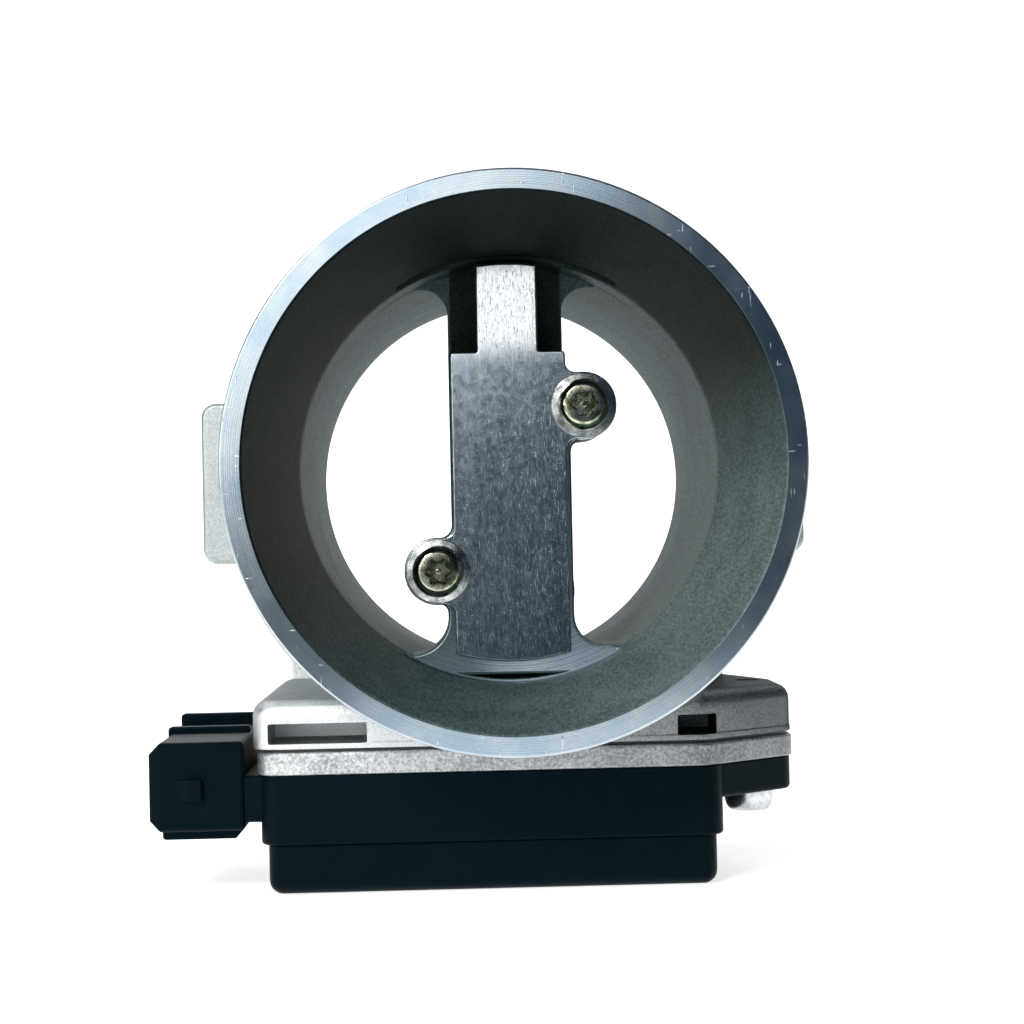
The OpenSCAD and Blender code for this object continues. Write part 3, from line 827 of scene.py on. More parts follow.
@dataclass(frozen=True)
class MouldedPlastic:
    """Matte glass-filled plastic with a fine eroded texture and faint flow marks."""

    name: str
    base: Colour = (0.0010, 0.0036, 0.0058)
    # the rubbed and dusty tone of the plastic
    wear_and_painted_shade: Colour = (0.0038, 0.0090, 0.0130)
    rough: float = 0.48
    texture_mm: float = 0.02

    def material(self) -> bpy.types.Material:
        """Fine texture, dusty clouds and a few rubbed streaks.

        Returns:
            The material.
        """
        s = Shader(self.name)
        texture = s.noise(5.5, 3.0, 0.55)
        dust = s.noise(0.22, 5.0, 0.62)
        rub = s.noise((0.3, 1.2, 2.6), 3.0, 0.6).rise(0.60, 0.80)
        colour = s.mix((dust * 0.8 + rub * 0.35).rise(0.40, 0.85), self.base, self.wear_and_painted_shade)
        rough = self.rough + (dust - 0.5) * 0.16 - rub * 0.05
        return s.surface({"Base Color": colour, "Roughness": rough, "IOR": 1.5, "Specular IOR Level": 0.09,
                          "Specular Tint": (0.35, 0.80, 1.0, 1.0),
                          "Normal": s.bump(texture, self.texture_mm)})


@dataclass(frozen=True)
class SoftSolid:
    """Rubber, silicone, ceramic or epoxy: one tone with a little cloud and grain."""

    name: str
    base: Colour
    cloud: Colour
    rough: float
    grain_mm: float = 0.01

    def material(self) -> bpy.types.Material:
        """Cloudy tone with fine grain.

        Returns:
            The material.
        """
        s = Shader(self.name)
        grain = s.noise(4.0, 3.0, 0.6)
        drift = s.noise(0.35, 3.0, 0.55)
        colour = s.mix((drift * 0.8 + grain * 0.3).rise(0.35, 0.75), self.base, self.cloud)
        return s.surface({"Base Color": colour, "Roughness": self.rough + (grain - 0.5) * 0.1,
                          "Normal": s.bump(grain, self.grain_mm)})


@dataclass(frozen=True)
class ThickFilm:
    """A white ceramic board with printed tracks, dark resistors and a faint glaze."""

    name: str
    pitch_mm: float = 1.9

    def material(self) -> bpy.types.Material:
        """Tracks are bands where a slowly bent coordinate is near a whole number of pitches.

        Returns:
            The material.
        """
        s = Shader(self.name)
        bend = s.noise(0.05, 1.0, 0.4) * 9.0
        across = s.node("ShaderNodeMath", {"operation": "PINGPONG"},
                        {"Value": s.x + bend, "Value_001": self.pitch_mm}).outputs[0]
        track = Value(s, across).rise(0.45, 0.35) * s.noise((0.12, 0.12, 1.0), 1.0).rise(0.42, 0.50)
        patch = s.noise((0.22, 0.28, 1.0), 0.0).rise(0.66, 0.69)
        grain = s.noise(6.0, 3.0)
        colour = s.mix(grain, (0.74, 0.74, 0.70), (0.84, 0.84, 0.80))
        colour = s.mix(track, colour, (0.62, 0.55, 0.36))
        colour = s.mix(patch, colour, (0.06, 0.07, 0.07))
        return s.surface({"Base Color": colour, "Roughness": 0.42 - track * 0.1,
                          "Normal": s.bump(track + patch, 0.015)})


@dataclass(frozen=True)
class FloorPaint:
    """Plain pale studio sweep, lit a little from within."""

    name: str = "studio_floor"
    tone: Colour = (0.90, 0.90, 0.90)
    far_tone: Colour = (0.20, 0.21, 0.22)
    far_light: Colour = (0.02, 0.02, 0.02)
    fade: tuple[float, float] = (-330.0, -160.0)
    glow: float = 0.80

    def material(self) -> bpy.types.Material:
        """One pale matte tone with a trace of grain, which fades to dark far in front of the object.

        Returns:
            The material.
        """
        s = Shader(self.name)
        near = s.y.rise(*self.fade)
        return s.surface({
            "Base Color": s.mix(near, self.far_tone, self.tone), "Roughness": 0.9 + s.noise(0.02, 1.0) * 0.05,
            "Emission Color": s.mix(near, self.far_light, self.tone), "Emission Strength": self.glow})


# ---------------------------------------------------------------- the frame


@dataclass(frozen=True)
class Layout:
    """Lowest and highest corners of the frame's nodes, in millimetres."""

    corners: dict[str, tuple[Array, Array]]

    @classmethod
    def read(cls, nodes: dict[str, bpy.types.Object]) -> "Layout":
        """Reads the box of every node in the frame.

        Args:
            nodes: The frame's node objects by name.

        Returns:
            The layout.
        """
        return cls({name: tuple(np.asarray(corner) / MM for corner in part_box(name)) for name in nodes})

    def low(self, node: str, axis: int) -> float:
        """A node's lowest coordinate along an axis."""
        return float(self.corners[node][0][axis])

    def high(self, node: str, axis: int) -> float:
        """A node's highest coordinate along an axis."""
        return float(self.corners[node][1][axis])


def deliver(thing: bpy.types.Object, node: str, material: bpy.types.Material,
            angle: float = 32.0) -> None:
    """Shades a finished piece, dresses it and hands it to the frame in place of a node.

    Args:
        thing: The piece.
        node: The frame's node that the piece stands for.
        material: The finish.
        angle: Edges sharper than this many degrees stay sharp.
    """
    smooth(thing, angle)
    thing.data.materials.clear()
    thing.data.materials.append(material)
    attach(thing, ROOT)
    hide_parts(node)
    log.info("%s stands for %s: %d faces", thing.name, node, len(thing.data.polygons))


# ---------------------------------------------------------------- cast body


@dataclass
class DuctCasting:
    """Die-cast duct with its flange, the saddle for the module and the bypass strut."""

    layout: Layout
    bore_r: float = 32.5
    throat_r: float = 32.6
    lip_bore_r: float = 38.6
    outlet_r: float = 41.9
    waist_r: float = 37.0
    flange_r: float = 49.4
    inlet_r: float = 36.5
    spigot_len: float = 21.0
    taper_len: float = 15.0
    flange_t: float = 7.0
    groove: tuple[float, float, float] = (34.2, 5.5, 8.5)
    ear_half_h: float = 14.2
    bolt_x: float = 44.4
    bolt_r: float = 3.3
    boss_r: float = 5.2
    screw_at: tuple = PLATE_SCREWS
    neck_side: tuple[float, float] = (-9.2, 8.95)
    root_side: tuple[float, float] = (-10.0, 9.6)
    strut_depth: float = 29.0
    passage_drop: float = 19.0
    passage_r: float = 6.5
    channel_half: float = 5.8
    channel_depth: float = 11.0
    outlet_z: float = OUTLET_Z
    outlet_depth: float = 9.0
    saddle_top: float = -34.5
    saddle_left: float = 0.9
    stem_y: float = STEM_Y
    module_screws: tuple = MODULE_SCREWS

    def duct(self) -> bpy.types.Object:
        """The turned wall: one closed profile of radius and y, with each corner rounded.

        Returns:
            The solid.
        """
        lip, end = self.layout.low("meter_body", 1), self.layout.high("meter_body", 1)
        strut = self.layout.high("bypass_cover", 1)
        groove_r, groove_0, groove_1 = self.groove
        rows = [
            (self.outlet_r, lip, 0.35), (self.outlet_r, lip + self.spigot_len, 9.0),
            (self.waist_r, lip + self.spigot_len + self.taper_len, 9.0), (self.waist_r, -self.flange_t, 3.0),
            (self.flange_r, -self.flange_t, 0.9), (self.flange_r, 0.0, 0.5), (self.inlet_r, 0.0, 0.3),
            (self.inlet_r, groove_0, 0.15), (groove_r, groove_0, 0.2), (groove_r, groove_1, 0.2),
            (self.inlet_r, groove_1, 0.15), (self.inlet_r, end, 0.7), (self.bore_r, end, 2.0),
            (self.bore_r, strut + 1.8, 0.6), (self.throat_r, strut + 0.5, 0.4),
            (self.lip_bore_r, lip + 0.35, 0.1), (self.lip_bore_r + 0.3, lip, 0.1)]
        profile = rounded([row[:2] for row in rows], [row[2] for row in rows], 7)
        return turned("duct_casting", profile, Axis.Y, segments=DUCT_STEPS)

    def flange_parts(self) -> list[bpy.types.Object]:
        """Ears, the block behind the module and the bosses round the bolt holes.

        Returns:
            The solids, to be joined to the duct.
        """
        x = self.layout.high("meter_body", 0)
        foot = self.layout.high("base_gasket", 2)
        ears = prism("ears", rounded(box_outline(-x, x, -self.ear_half_h, self.ear_half_h), 2.6),
                     Axis.Y, -self.flange_t, 0.0, 0.7, 0.4)
        back = prism("back", rounded(box_outline(-38.0, 38.0, foot, 0.0), 1.4),
                     Axis.Y, -self.flange_t, 0.0, 0.6, 0.4)
        bosses = [rod("boss", Axis.Y, (side * self.bolt_x, 0.0), 5.7, -self.flange_t - 1.5, -1.0, 0.5)
                  for side in (-1, 1)]
        return [ears, back, *bosses]

    def saddle(self) -> list[bpy.types.Object]:
        """Flat platform under the duct, rounded along its top, with a thin rim at its foot.

        Returns:
            The two solids, to be joined to the duct.
        """
        foot = self.layout.high("base_gasket", 2)
        body = prism("saddle", module_plan(0.1, self.saddle_left), Axis.Z, foot, self.saddle_top, 0.25, 2.3)
        rim = prism("rim", module_plan(0.2, -0.2), Axis.Z, foot, foot + 1.2, 0.2, 0.5)
        return [body, rim]

    def strut_outline(self) -> Array:
        """The strut from the front: bosses are round ears, and the roots flow into the bore.

        Returns:
            The outline in x and z.
        """
        (rx, rz), (lx, lz) = self.screw_at
        ear, web = self.boss_r - 0.01, 1.9
        left, right = self.neck_side
        root_left, root_right = self.root_side
        rows = [
            (18.0, -27.5, 0), (root_right, -27.5, 4.6), (root_right, rz - self.boss_r, web),
            (rx + self.boss_r, rz - self.boss_r, ear), (rx + self.boss_r, rz + self.boss_r, ear),
            (right, rz + self.boss_r, web), (right, 29.1, 3.8), (17.0, 29.1, 0), (12.0, 32.2, 0), (-12.0, 32.2, 0),
            (-17.0, 29.1, 0), (left, 29.1, 3.8), (left, lz + self.boss_r, web),
            (lx - self.boss_r, lz + self.boss_r, ear), (lx - self.boss_r, lz - self.boss_r, ear),
            (root_left, lz - self.boss_r, 1.3), (root_left, -28.5, 5.6), (-17.5, -28.5, 0),
            (-12.0, -31.8, 0), (12.0, -31.8, 0)]
        return rounded([row[:2] for row in rows], [row[2] for row in rows], 9)

    def strut(self) -> bpy.types.Object:
        """The slab with its bosses, the round-nosed body behind it and the measuring passage's barrel.

        Returns:
            The solid.
        """
        face = self.layout.high("bypass_cover", 1)
        slab = prism("strut", self.strut_outline(), Axis.Y, face, face + 13.0, 0.45, 1.2)
        nose = face + self.strut_depth - 9.0
        plan = np.concatenate([[[-9.0, face + 4.0], [9.0, face + 4.0]], arc((0.0, nose), 9.0, 0.0, 180.0, 24)])
        body = prism("body", plan, Axis.Z, -33.4, 33.4)
        carve(body, [rod("limit", Axis.Y, (0.0, 0.0), 33.4, face - 1.0, 0.0, segments=128)], Cut.KEEP_COMMON)
        centre, end, lip = (0.0, -self.passage_drop), 4.0, (9.8 - self.passage_r) / 2
        profile = np.concatenate([
            [[0.0, face + 2.0], [9.8, face + 2.0]],
            arc((9.8 - lip, end - lip), lip, 0.0, 180.0, 14), [[self.passage_r, end - 8.0], [0.0, end - 8.0]]])
        barrel = turned("barrel", profile, Axis.Y, centre, 96)
        keel = block("keel", (-7.0, face + 15.0, -33.6), (7.0, end - 4.0, -self.passage_drop - 7.5), edge=1.0)
        return carve(slab, [body, barrel, keel], Cut.ADD)

    def arrow(self) -> bpy.types.Object:
        """Raised arrow on the roof, pointing the way the air goes.

        Returns:
            The solid.
        """
        plan = rounded([[-2, -16], [-2, -32], [-5.5, -32], [0, -42], [5.5, -32], [2, -32], [2, -16]][::-1],
                       [0.6, 0.4, 0.5, 0.4, 0.5, 0.4, 0.6], 4)
        shape = prism("arrow", plan, Axis.Z, 30.0, 60.0)
        shell = turned("shell", rounded(box_outline(self.waist_r - 1.0, self.waist_r + 0.7, -46.0, -10.0), 0.0),
                       Axis.Y, segments=DUCT_STEPS)
        return carve(shape, [shell], Cut.KEEP_COMMON)

    def cutters(self) -> list[bpy.types.Object]:
        """Air ways, holes and pockets.

        Returns:
            The solids to take away.
        """
        face = self.layout.high("bypass_cover", 1)
        foot = self.layout.high("base_gasket", 2)
        half, drop = self.channel_half, self.passage_drop
        channel = rounded([[-half, -drop - half], [half, -drop - half], [half, self.outlet_z + 1],
                           [-half, self.outlet_z + 1]], [half - 0.01, half - 0.01, 0, 0], 14)
        outlets = block("outlets", (-20.0, face - 0.02, self.outlet_z), (20.0, face + self.outlet_depth, 34.5))
        carve(outlets, [rod("limit", Axis.Y, (0.0, 0.0), self.bore_r + 0.05, face - 1.0, 0.0, segments=DUCT_STEPS)],
              Cut.KEEP_COMMON)
        tools = [
            prism("channel", channel, Axis.Y, face - 1.0, face + self.channel_depth),
            outlets,
            rod("passage", Axis.Y, (0.0, -drop), self.passage_r, face + self.channel_depth - 2.0, 6.0, segments=80),
            rod("stem_hole", Axis.Z, (0.0, self.stem_y), 6.0, foot - 1.0, -drop)]
        tools += [rod("hole", Axis.Y, at, 2.0, face - 1.0, face + 10.0, segments=HOLE_STEPS)
                  for at in self.screw_at]
        tools += [rod("bolt_hole", Axis.Y, (side * self.bolt_x, 0.0), self.bolt_r, -self.flange_t - 3.0, 1.0)
                  for side in (-1, 1)]
        (x0, y0), (x1, y1) = self.module_screws
        tools += [rod("hole", Axis.Z, (x0, y0), 2.0, foot - 1.0, self.saddle_top + 1.0, segments=HOLE_STEPS),
                  rod("hole", Axis.Z, (x1, y1), 2.0, foot - 1.0, foot + 7.0, segments=HOLE_STEPS)]
        front = self.layout.low("base_plate", 1)
        tools += [block("pocket", (low, front - 1.0, -41.1), (high, front + 14.4, -38.0), 0.35)
                  for low, high in ((-37.6, -22.6), (24.4, 30.5))]
        return tools

    def build(self) -> None:
        """Joins the parts, cuts the ways and dresses the casting."""
        face = self.layout.high("bypass_cover", 1)
        body = self.duct()
        parts = [*self.flange_parts(), *self.saddle()]
        for part in parts:
            carve(part, [rod("hollow", Axis.Y, (0.0, 0.0), self.bore_r + 0.6, -80.0, 10.0, segments=DUCT_STEPS)],
                  Cut.REMOVE)
        carve(body, parts, Cut.ADD)
        facing = block("facing", (-17.0, face - 3.5, -40.0), (17.0, face, 40.0))
        limit = rod("limit", Axis.Y, (0.0, 0.0), self.bore_r + 0.7, face - 5.0, face + 1.0, segments=DUCT_STEPS)
        carve(body, [carve(facing, [limit], Cut.KEEP_COMMON)], Cut.REMOVE)
        carve(body, [self.strut(), self.arrow()], Cut.ADD)
        carve(body, self.cutters(), Cut.REMOVE)
        finish = CastMetal("cast_aluminium", self.layout.low("meter_body", 1), face, 0.0, self.outlet_r,
                           self.bore_r, self.lip_bore_r)
        deliver(body, "meter_body", finish.material(), 26.0)


# ---------------------------------------------------------------- fasteners


@dataclass
class PanScrew:
    """Pan-head screw with a six-lobed recess, and the conical washer under it."""

    height: float
    shank: float
    head_r: float = 4.0
    crown_r: float = 2.7
    shank_r: float = 1.95
    lobe_r: float = 1.93
    lobe_depth: float = 0.27
    recess: float = 1.9
    washer_r: float = 4.95
    washer_hole_r: float = CLEAR_R
    washer_t: float = 0.9

    def screw(self, axis: Axis, centre: tuple[float, float], seat: float, way: int) -> bpy.types.Object:
        """A screw whose head stands on the seat.

        The recess's radius at angle t is r - d + d cos 6t; its rim is opened a little by a chamfer.

        Args:
            axis: The screw's axis.
            centre: Where it crosses the plane of the other axes.
            seat: Coordinate of the head's underside.
            way: 1 or -1, the way in which the head points.

        Returns:
            The screw.
        """
        h, rim = self.height, self.height / 4
        a = np.radians(np.linspace(0, 90, 13))
        dome = np.column_stack([self.crown_r + (self.head_r - self.crown_r) * np.cos(a),
                                rim + (h - rim) * np.sin(a)])
        profile = np.concatenate([
            [[0.0, -self.shank], [self.shank_r - 0.4, -self.shank], [self.shank_r, -self.shank + 0.5],
             [self.shank_r, 0.0], [self.head_r - 0.15, 0.0], [self.head_r, 0.15]], dome, [[0.0, h]]])
        profile[:, 1] = seat + way * profile[:, 1]
        body = turned("screw", profile, axis, centre, 72)
        t = np.radians(np.arange(0, 360, 5.0))
        r = self.lobe_r - self.lobe_depth + self.lobe_depth * np.cos(6 * t)
        lobes = np.asarray(centre) + np.column_stack([r * np.cos(t), r * np.sin(t)])
        rows = np.array([[h - self.recess, 0.12], [h - self.recess + 0.12, 0.0], [h - 0.22, 0.0], [h + 0.1, -0.34]])
        rows[:, 0] = seat + way * rows[:, 0]
        cutter = prism("lobes", lobes, axis, 0.0, 0.0, stations=rows)
        carve(body, [cutter], Cut.REMOVE)
        post = [seat + way * (h - self.recess - 0.2), seat + way * (h - self.recess + 1.1)]
        low_r, high_r = (0.0, 0.25) if way > 0 else (0.25, 0.0)
        return carve(body, [rod("post", axis, centre, 0.55, min(post), max(post), low_r, high_r, 24)], Cut.ADD)

    def washer(self, axis: Axis, centre: tuple[float, float], seat: float, way: int) -> bpy.types.Object:
        """A conical washer: its thin section climbs from the rim to the hole.

        Args:
            axis: The washer's axis.
            centre: Where it crosses the plane of the other axes.
            seat: Coordinate of the face that it lies on.
            way: 1 or -1, the way in which it stands up.

        Returns:
            The washer.
        """
        section = rounded([[self.washer_hole_r, 0.25], [self.washer_r, 0.0], [self.washer_r, 0.55],
                           [self.washer_hole_r, self.washer_t]], 0.14, 4)
        section[:, 1] = seat + way * section[:, 1]
        return turned("washer", section, axis, centre, 72)


def deliver_fasteners(kind: PanScrew, axis: Axis, centres: tuple, seat: float, way: int, names: tuple[str, str],
                      nodes: tuple[str, str], slots: tuple[str, str], finishes: tuple) -> None:
    """Builds a set of screws and the set of washers under them, each set as one piece.

    Args:
        kind: The screw and washer.
        axis: Their axis.
        centres: Where they stand.
        seat: Face that the washers lie on.
        way: The way in which the heads point.
        names: Names of the two pieces, screws first.
        nodes: The frame's nodes that they stand for.
        slots: Not used.
        finishes: Their finishes.
    """
    screws = [kind.screw(axis, centre, seat + way * kind.washer_t, way) for centre in centres]
    washers = [kind.washer(axis, centre, seat, way) for centre in centres]
    for things, name, node, slot, finish in zip((screws, washers), names, nodes, slots, finishes):
        whole = carve(things[0], things[1:], Cut.ADD)
        whole.name = name
        deliver(whole, node, finish.material(), 36.0)


# ---------------------------------------------------------------- bypass cover


@dataclass
class BypassCover:
    """Brushed plate that closes the bypass channel, with its two screws and washers."""

    layout: Layout
    screw_at: tuple = PLATE_SCREWS
    half: float = 8.9
    tongue_half: float = 4.7
    ear_r: float = 5.2
    foot_r: float = 29.75
    tip_r: float = 31.8
    outlet_z: float = OUTLET_Z

    def outline(self) -> Array:
        """The plate from the front: arcs at its foot and tip, round ears at its screws.

        Returns:
            The outline in x and z.
        """
        (rx, rz), (lx, lz) = self.screw_at
        ear, web = self.ear_r - 0.2, 1.5
        rows = [
            (self.half, rz - self.ear_r, web), (rx + self.ear_r, rz - self.ear_r, ear),
            (rx + self.ear_r, rz + self.ear_r, ear), (self.half, rz + self.ear_r, web),
            (self.half, self.outlet_z, 0.6), (self.tongue_half, self.outlet_z, 0.3)]
        right = rounded([(self.half, -20.0)] + [row[:2] for row in rows] + [(self.tongue_half, 25.0)],
                        [0.0] + [row[2] for row in rows] + [0.0], 8)
        rows = [
            (-self.tongue_half, self.outlet_z, 0.3), (-self.half, self.outlet_z, 0.6),
            (-self.half, lz + self.ear_r, web), (lx - self.ear_r, lz + self.ear_r, ear),
            (lx - self.ear_r, lz - self.ear_r, ear), (-self.half, lz - self.ear_r, web)]
        left = rounded([(-self.tongue_half, 25.0)] + [row[:2] for row in rows] + [(-self.half, -25.0)],
                       [0.0] + [row[2] for row in rows] + [0.0], 8)
        foot = math.degrees(math.asin(self.half / self.foot_r))
        tip = math.degrees(math.asin(self.tongue_half / self.tip_r))
        return np.concatenate([
            arc((0.0, 0.0), self.foot_r, 270.0 - foot, 270.0 + foot, 16), right,
            arc((0.0, 0.0), self.tip_r, 90.0 - tip, 90.0 + tip, 10), left])

    def build(self) -> None:
        """Makes the plate, its screws and its washers."""
        front, back = self.layout.low("bypass_cover", 1), self.layout.high("bypass_cover", 1)
        plate = prism("bypass_plate", self.outline(), Axis.Y, front, back, 0.25, 0.1)
        carve(plate, [rod("hole", Axis.Y, at, CLEAR_R, front - 1.0, back + 1.0, segments=HOLE_STEPS)
                      for at in self.screw_at], Cut.REMOVE)
        deliver(plate, "bypass_cover",
                BrushedSheet("brushed_aluminium", self.outlet_z).material())
        olive = PlatedSteel("olive_zinc", (0.16, 0.18, 0.10), (0.84, 0.85, 0.66), 0.13)
        bright = PlatedSteel("zinc_washers", (0.30, 0.32, 0.31), (0.84, 0.86, 0.85), 0.15)
        deliver_fasteners(PanScrew(2.9, 11.0), Axis.Y, self.screw_at, front, -1, ("plate_screws", "plate_washers"),
                          ("bypass_cover_screws", "bypass_cover_washers"), ("olive_zinc", "zinc_steel"),
                          (olive, bright))


# ---------------------------------------------------------------- electronics module


MODULE_X = (-39.05, 31.35)
MODULE_Y = (-64.0, -6.0)
EAR_X = 43.3
EAR_SHOULDER = (28.5, 32.8)
EAR_END = (-51.0, -37.5)


def module_plan(grow: float = 0.0, left: float = 0.0) -> Array:
    """Plan of the saddle, base plate and housing rim, with the one-screw ear at +X.

    Args:
        grow: How far each side moves outwards.
        left: How much further the left side moves.

    Returns:
        The outline.
    """
    x0, y0, y1 = MODULE_X[0] - grow - left, MODULE_Y[0] - grow, MODULE_Y[1] + grow
    shoulder = [x + 0.4 * grow for x in EAR_SHOULDER]
    points = [[x0, y0], [shoulder[0], y0], [EAR_X + grow, EAR_END[0]], [EAR_X + grow, EAR_END[1]],
              [shoulder[1], y1], [x0, y1]]
    return rounded(points, [3.4, 3.0, 3.5, 3.5, 3.0, 3.4], 10)


def case_plan(step_in: float = 0.0, notch: float = 10.8, notch_r: float = 1.5) -> Array:
    """Plan of the case's walls: a box with one corner left free for the second screw.

    Args:
        step_in: How far each side moves inwards.
        notch: Size of the free corner.
        notch_r: Rounding of the two outer corners beside it.

    Returns:
        The outline.
    """
    x0, x1 = MODULE_X[0] + step_in, MODULE_X[1] - step_in
    y0, y1 = MODULE_Y[0] + step_in, MODULE_Y[1] - step_in
    r = max(3.4 - step_in, 1.0)
    return rounded([[x0, y0], [x1, y0], [x1, y1], [x0 + notch, y1], [x0 + notch, y1 - notch], [x0, y1 - notch]],
                   [r, r, r, notch_r, 3.0, notch_r], 8)


@dataclass
class PlugSocket:
    """Six-way plug socket that points to the left, with keying ribs and end catches."""

    x0: float = -55.9
    x1: float = -41.4
    y0: float = -62.5
    y1: float = -25.5
    z0: float = -54.2
    z1: float = -40.6
    wall: float = 1.5
    depth: float = 12.6
    bevel: float = 1.8
    ribs: tuple = ((-45.0, -39.6), (-28.0, -38.8))
    rib_w: float = 2.2
    pins: int = 6
    pitch: float = 5.0
    pin_z: float = -48.6

    def shell(self, case_top: float) -> bpy.types.Object:
        """The outside: a long box with a bevelled mouth, ribs above, runners below, catches at its ends.

        Args:
            case_top: Height of the case's upper face.

        Returns:
            The solid shell, before it is hollowed.
        """
        skin = prism("socket", rounded(box_outline(self.y0, self.y1, self.z0, self.z1), 1.0, 5),
                     Axis.X, self.x0, self.x1)
        mouth = self.x0 + self.bevel
        side = rounded([[self.x0, self.z0 + self.bevel], [mouth, self.z0], [self.x1, self.z0], [self.x1, self.z1],
                        [mouth, self.z1], [self.x0, self.z1 - self.bevel]], [0.5, 0.6, 0.8, 0.8, 0.6, 0.5], 5)
        half = self.bevel / 2
        above = rounded([[self.x0, self.y0 + half], [mouth, self.y0], [self.x1, self.y0], [self.x1, self.y1],
                         [mouth, self.y1], [self.x0, self.y1 - half]], [0.4, 0.6, 0.8, 0.8, 0.6, 0.4], 5)
        carve(skin, [prism("side", side, Axis.Y, self.y0 - 1, self.y1 + 1),
                     prism("above", above, Axis.Z, self.z0 - 1, self.z1 + 1)], Cut.KEEP_COMMON)
        extras = []
        for y, top in self.ribs:
            rib = box_outline(self.x0 + 0.9, self.x1 - 0.6, self.z1 - 1, top)
            extras.append(prism("rib", rounded(rib, [0, 0, 0.5, 0.6], 5), Axis.Y, y, y + self.rib_w, 0.35, 0.35))
        runner = [[mouth, self.z0 + 1], [mouth, self.z0 - 1.3], [self.x1 - 1.6, self.z0 - 1.3],
                  [self.x1 - 0.4, self.z0], [self.x1 - 0.4, self.z0 + 1]]
        extras += [prism("runner", rounded(runner, [0, 0.5, 0.4, 0.3, 0], 4), Axis.Y, y, y + 4.0, 0.15, 0.15)
                   for y in (self.y0 + 2.0, self.y1 - 6.0)]
        middle = (self.z0 + self.z1) / 2 - 0.4
        for end, way in ((self.y0, -1), (self.y1, 1)):
            ramp = np.array([[-51.6, -0.5], [-51.6, 0.0], [-49.6, 1.1], [-47.7, 1.3], [-47.7, -0.5]])
            ramp[:, 1] = end + way * ramp[:, 1]
            ramp = ramp if way < 0 else ramp[::-1]
            extras.append(prism("catch", rounded(ramp, [0, 0.2, 0.3, 0.3, 0], 4),
                                Axis.Z, middle - 1.6, middle + 1.6, 0.1, 0.1))
        extras.append(block("neck", (self.x1 - 0.5, self.y0 + 0.4, -53.0),
                            (MODULE_X[0] + 1.0, self.y1 - 2.0, case_top), edge=0.8))
        return carve(skin, extras, Cut.ADD)

    def hollows(self) -> list[bpy.types.Object]:
        """The space for the plug, and the slots that the contacts pass through.

        Returns:
            The solids to take away.
        """
        space = box_outline(self.y0 + self.wall, self.y1 - self.wall, self.z0 + self.wall, self.z1 - self.wall)
        rows = np.array([[self.x0 - 1.0, -0.75], [self.x0 + 0.35, 0.0], [self.x0 + self.depth, 0.0]])
        tools = [prism("space", rounded(space, 0.8, 4), Axis.X, 0.0, 0.0, stations=rows)]
        middle = (self.y0 + self.y1) / 2
        for index in range(self.pins):
            y = middle + (index - (self.pins - 1) / 2) * self.pitch
            tools.append(block("slot", (self.x0 + self.depth - 1.0, y - 1.41, self.pin_z - 0.41),
                               (MODULE_X[0] + 3.2, y + 1.41, self.pin_z + 0.41)))
        return tools


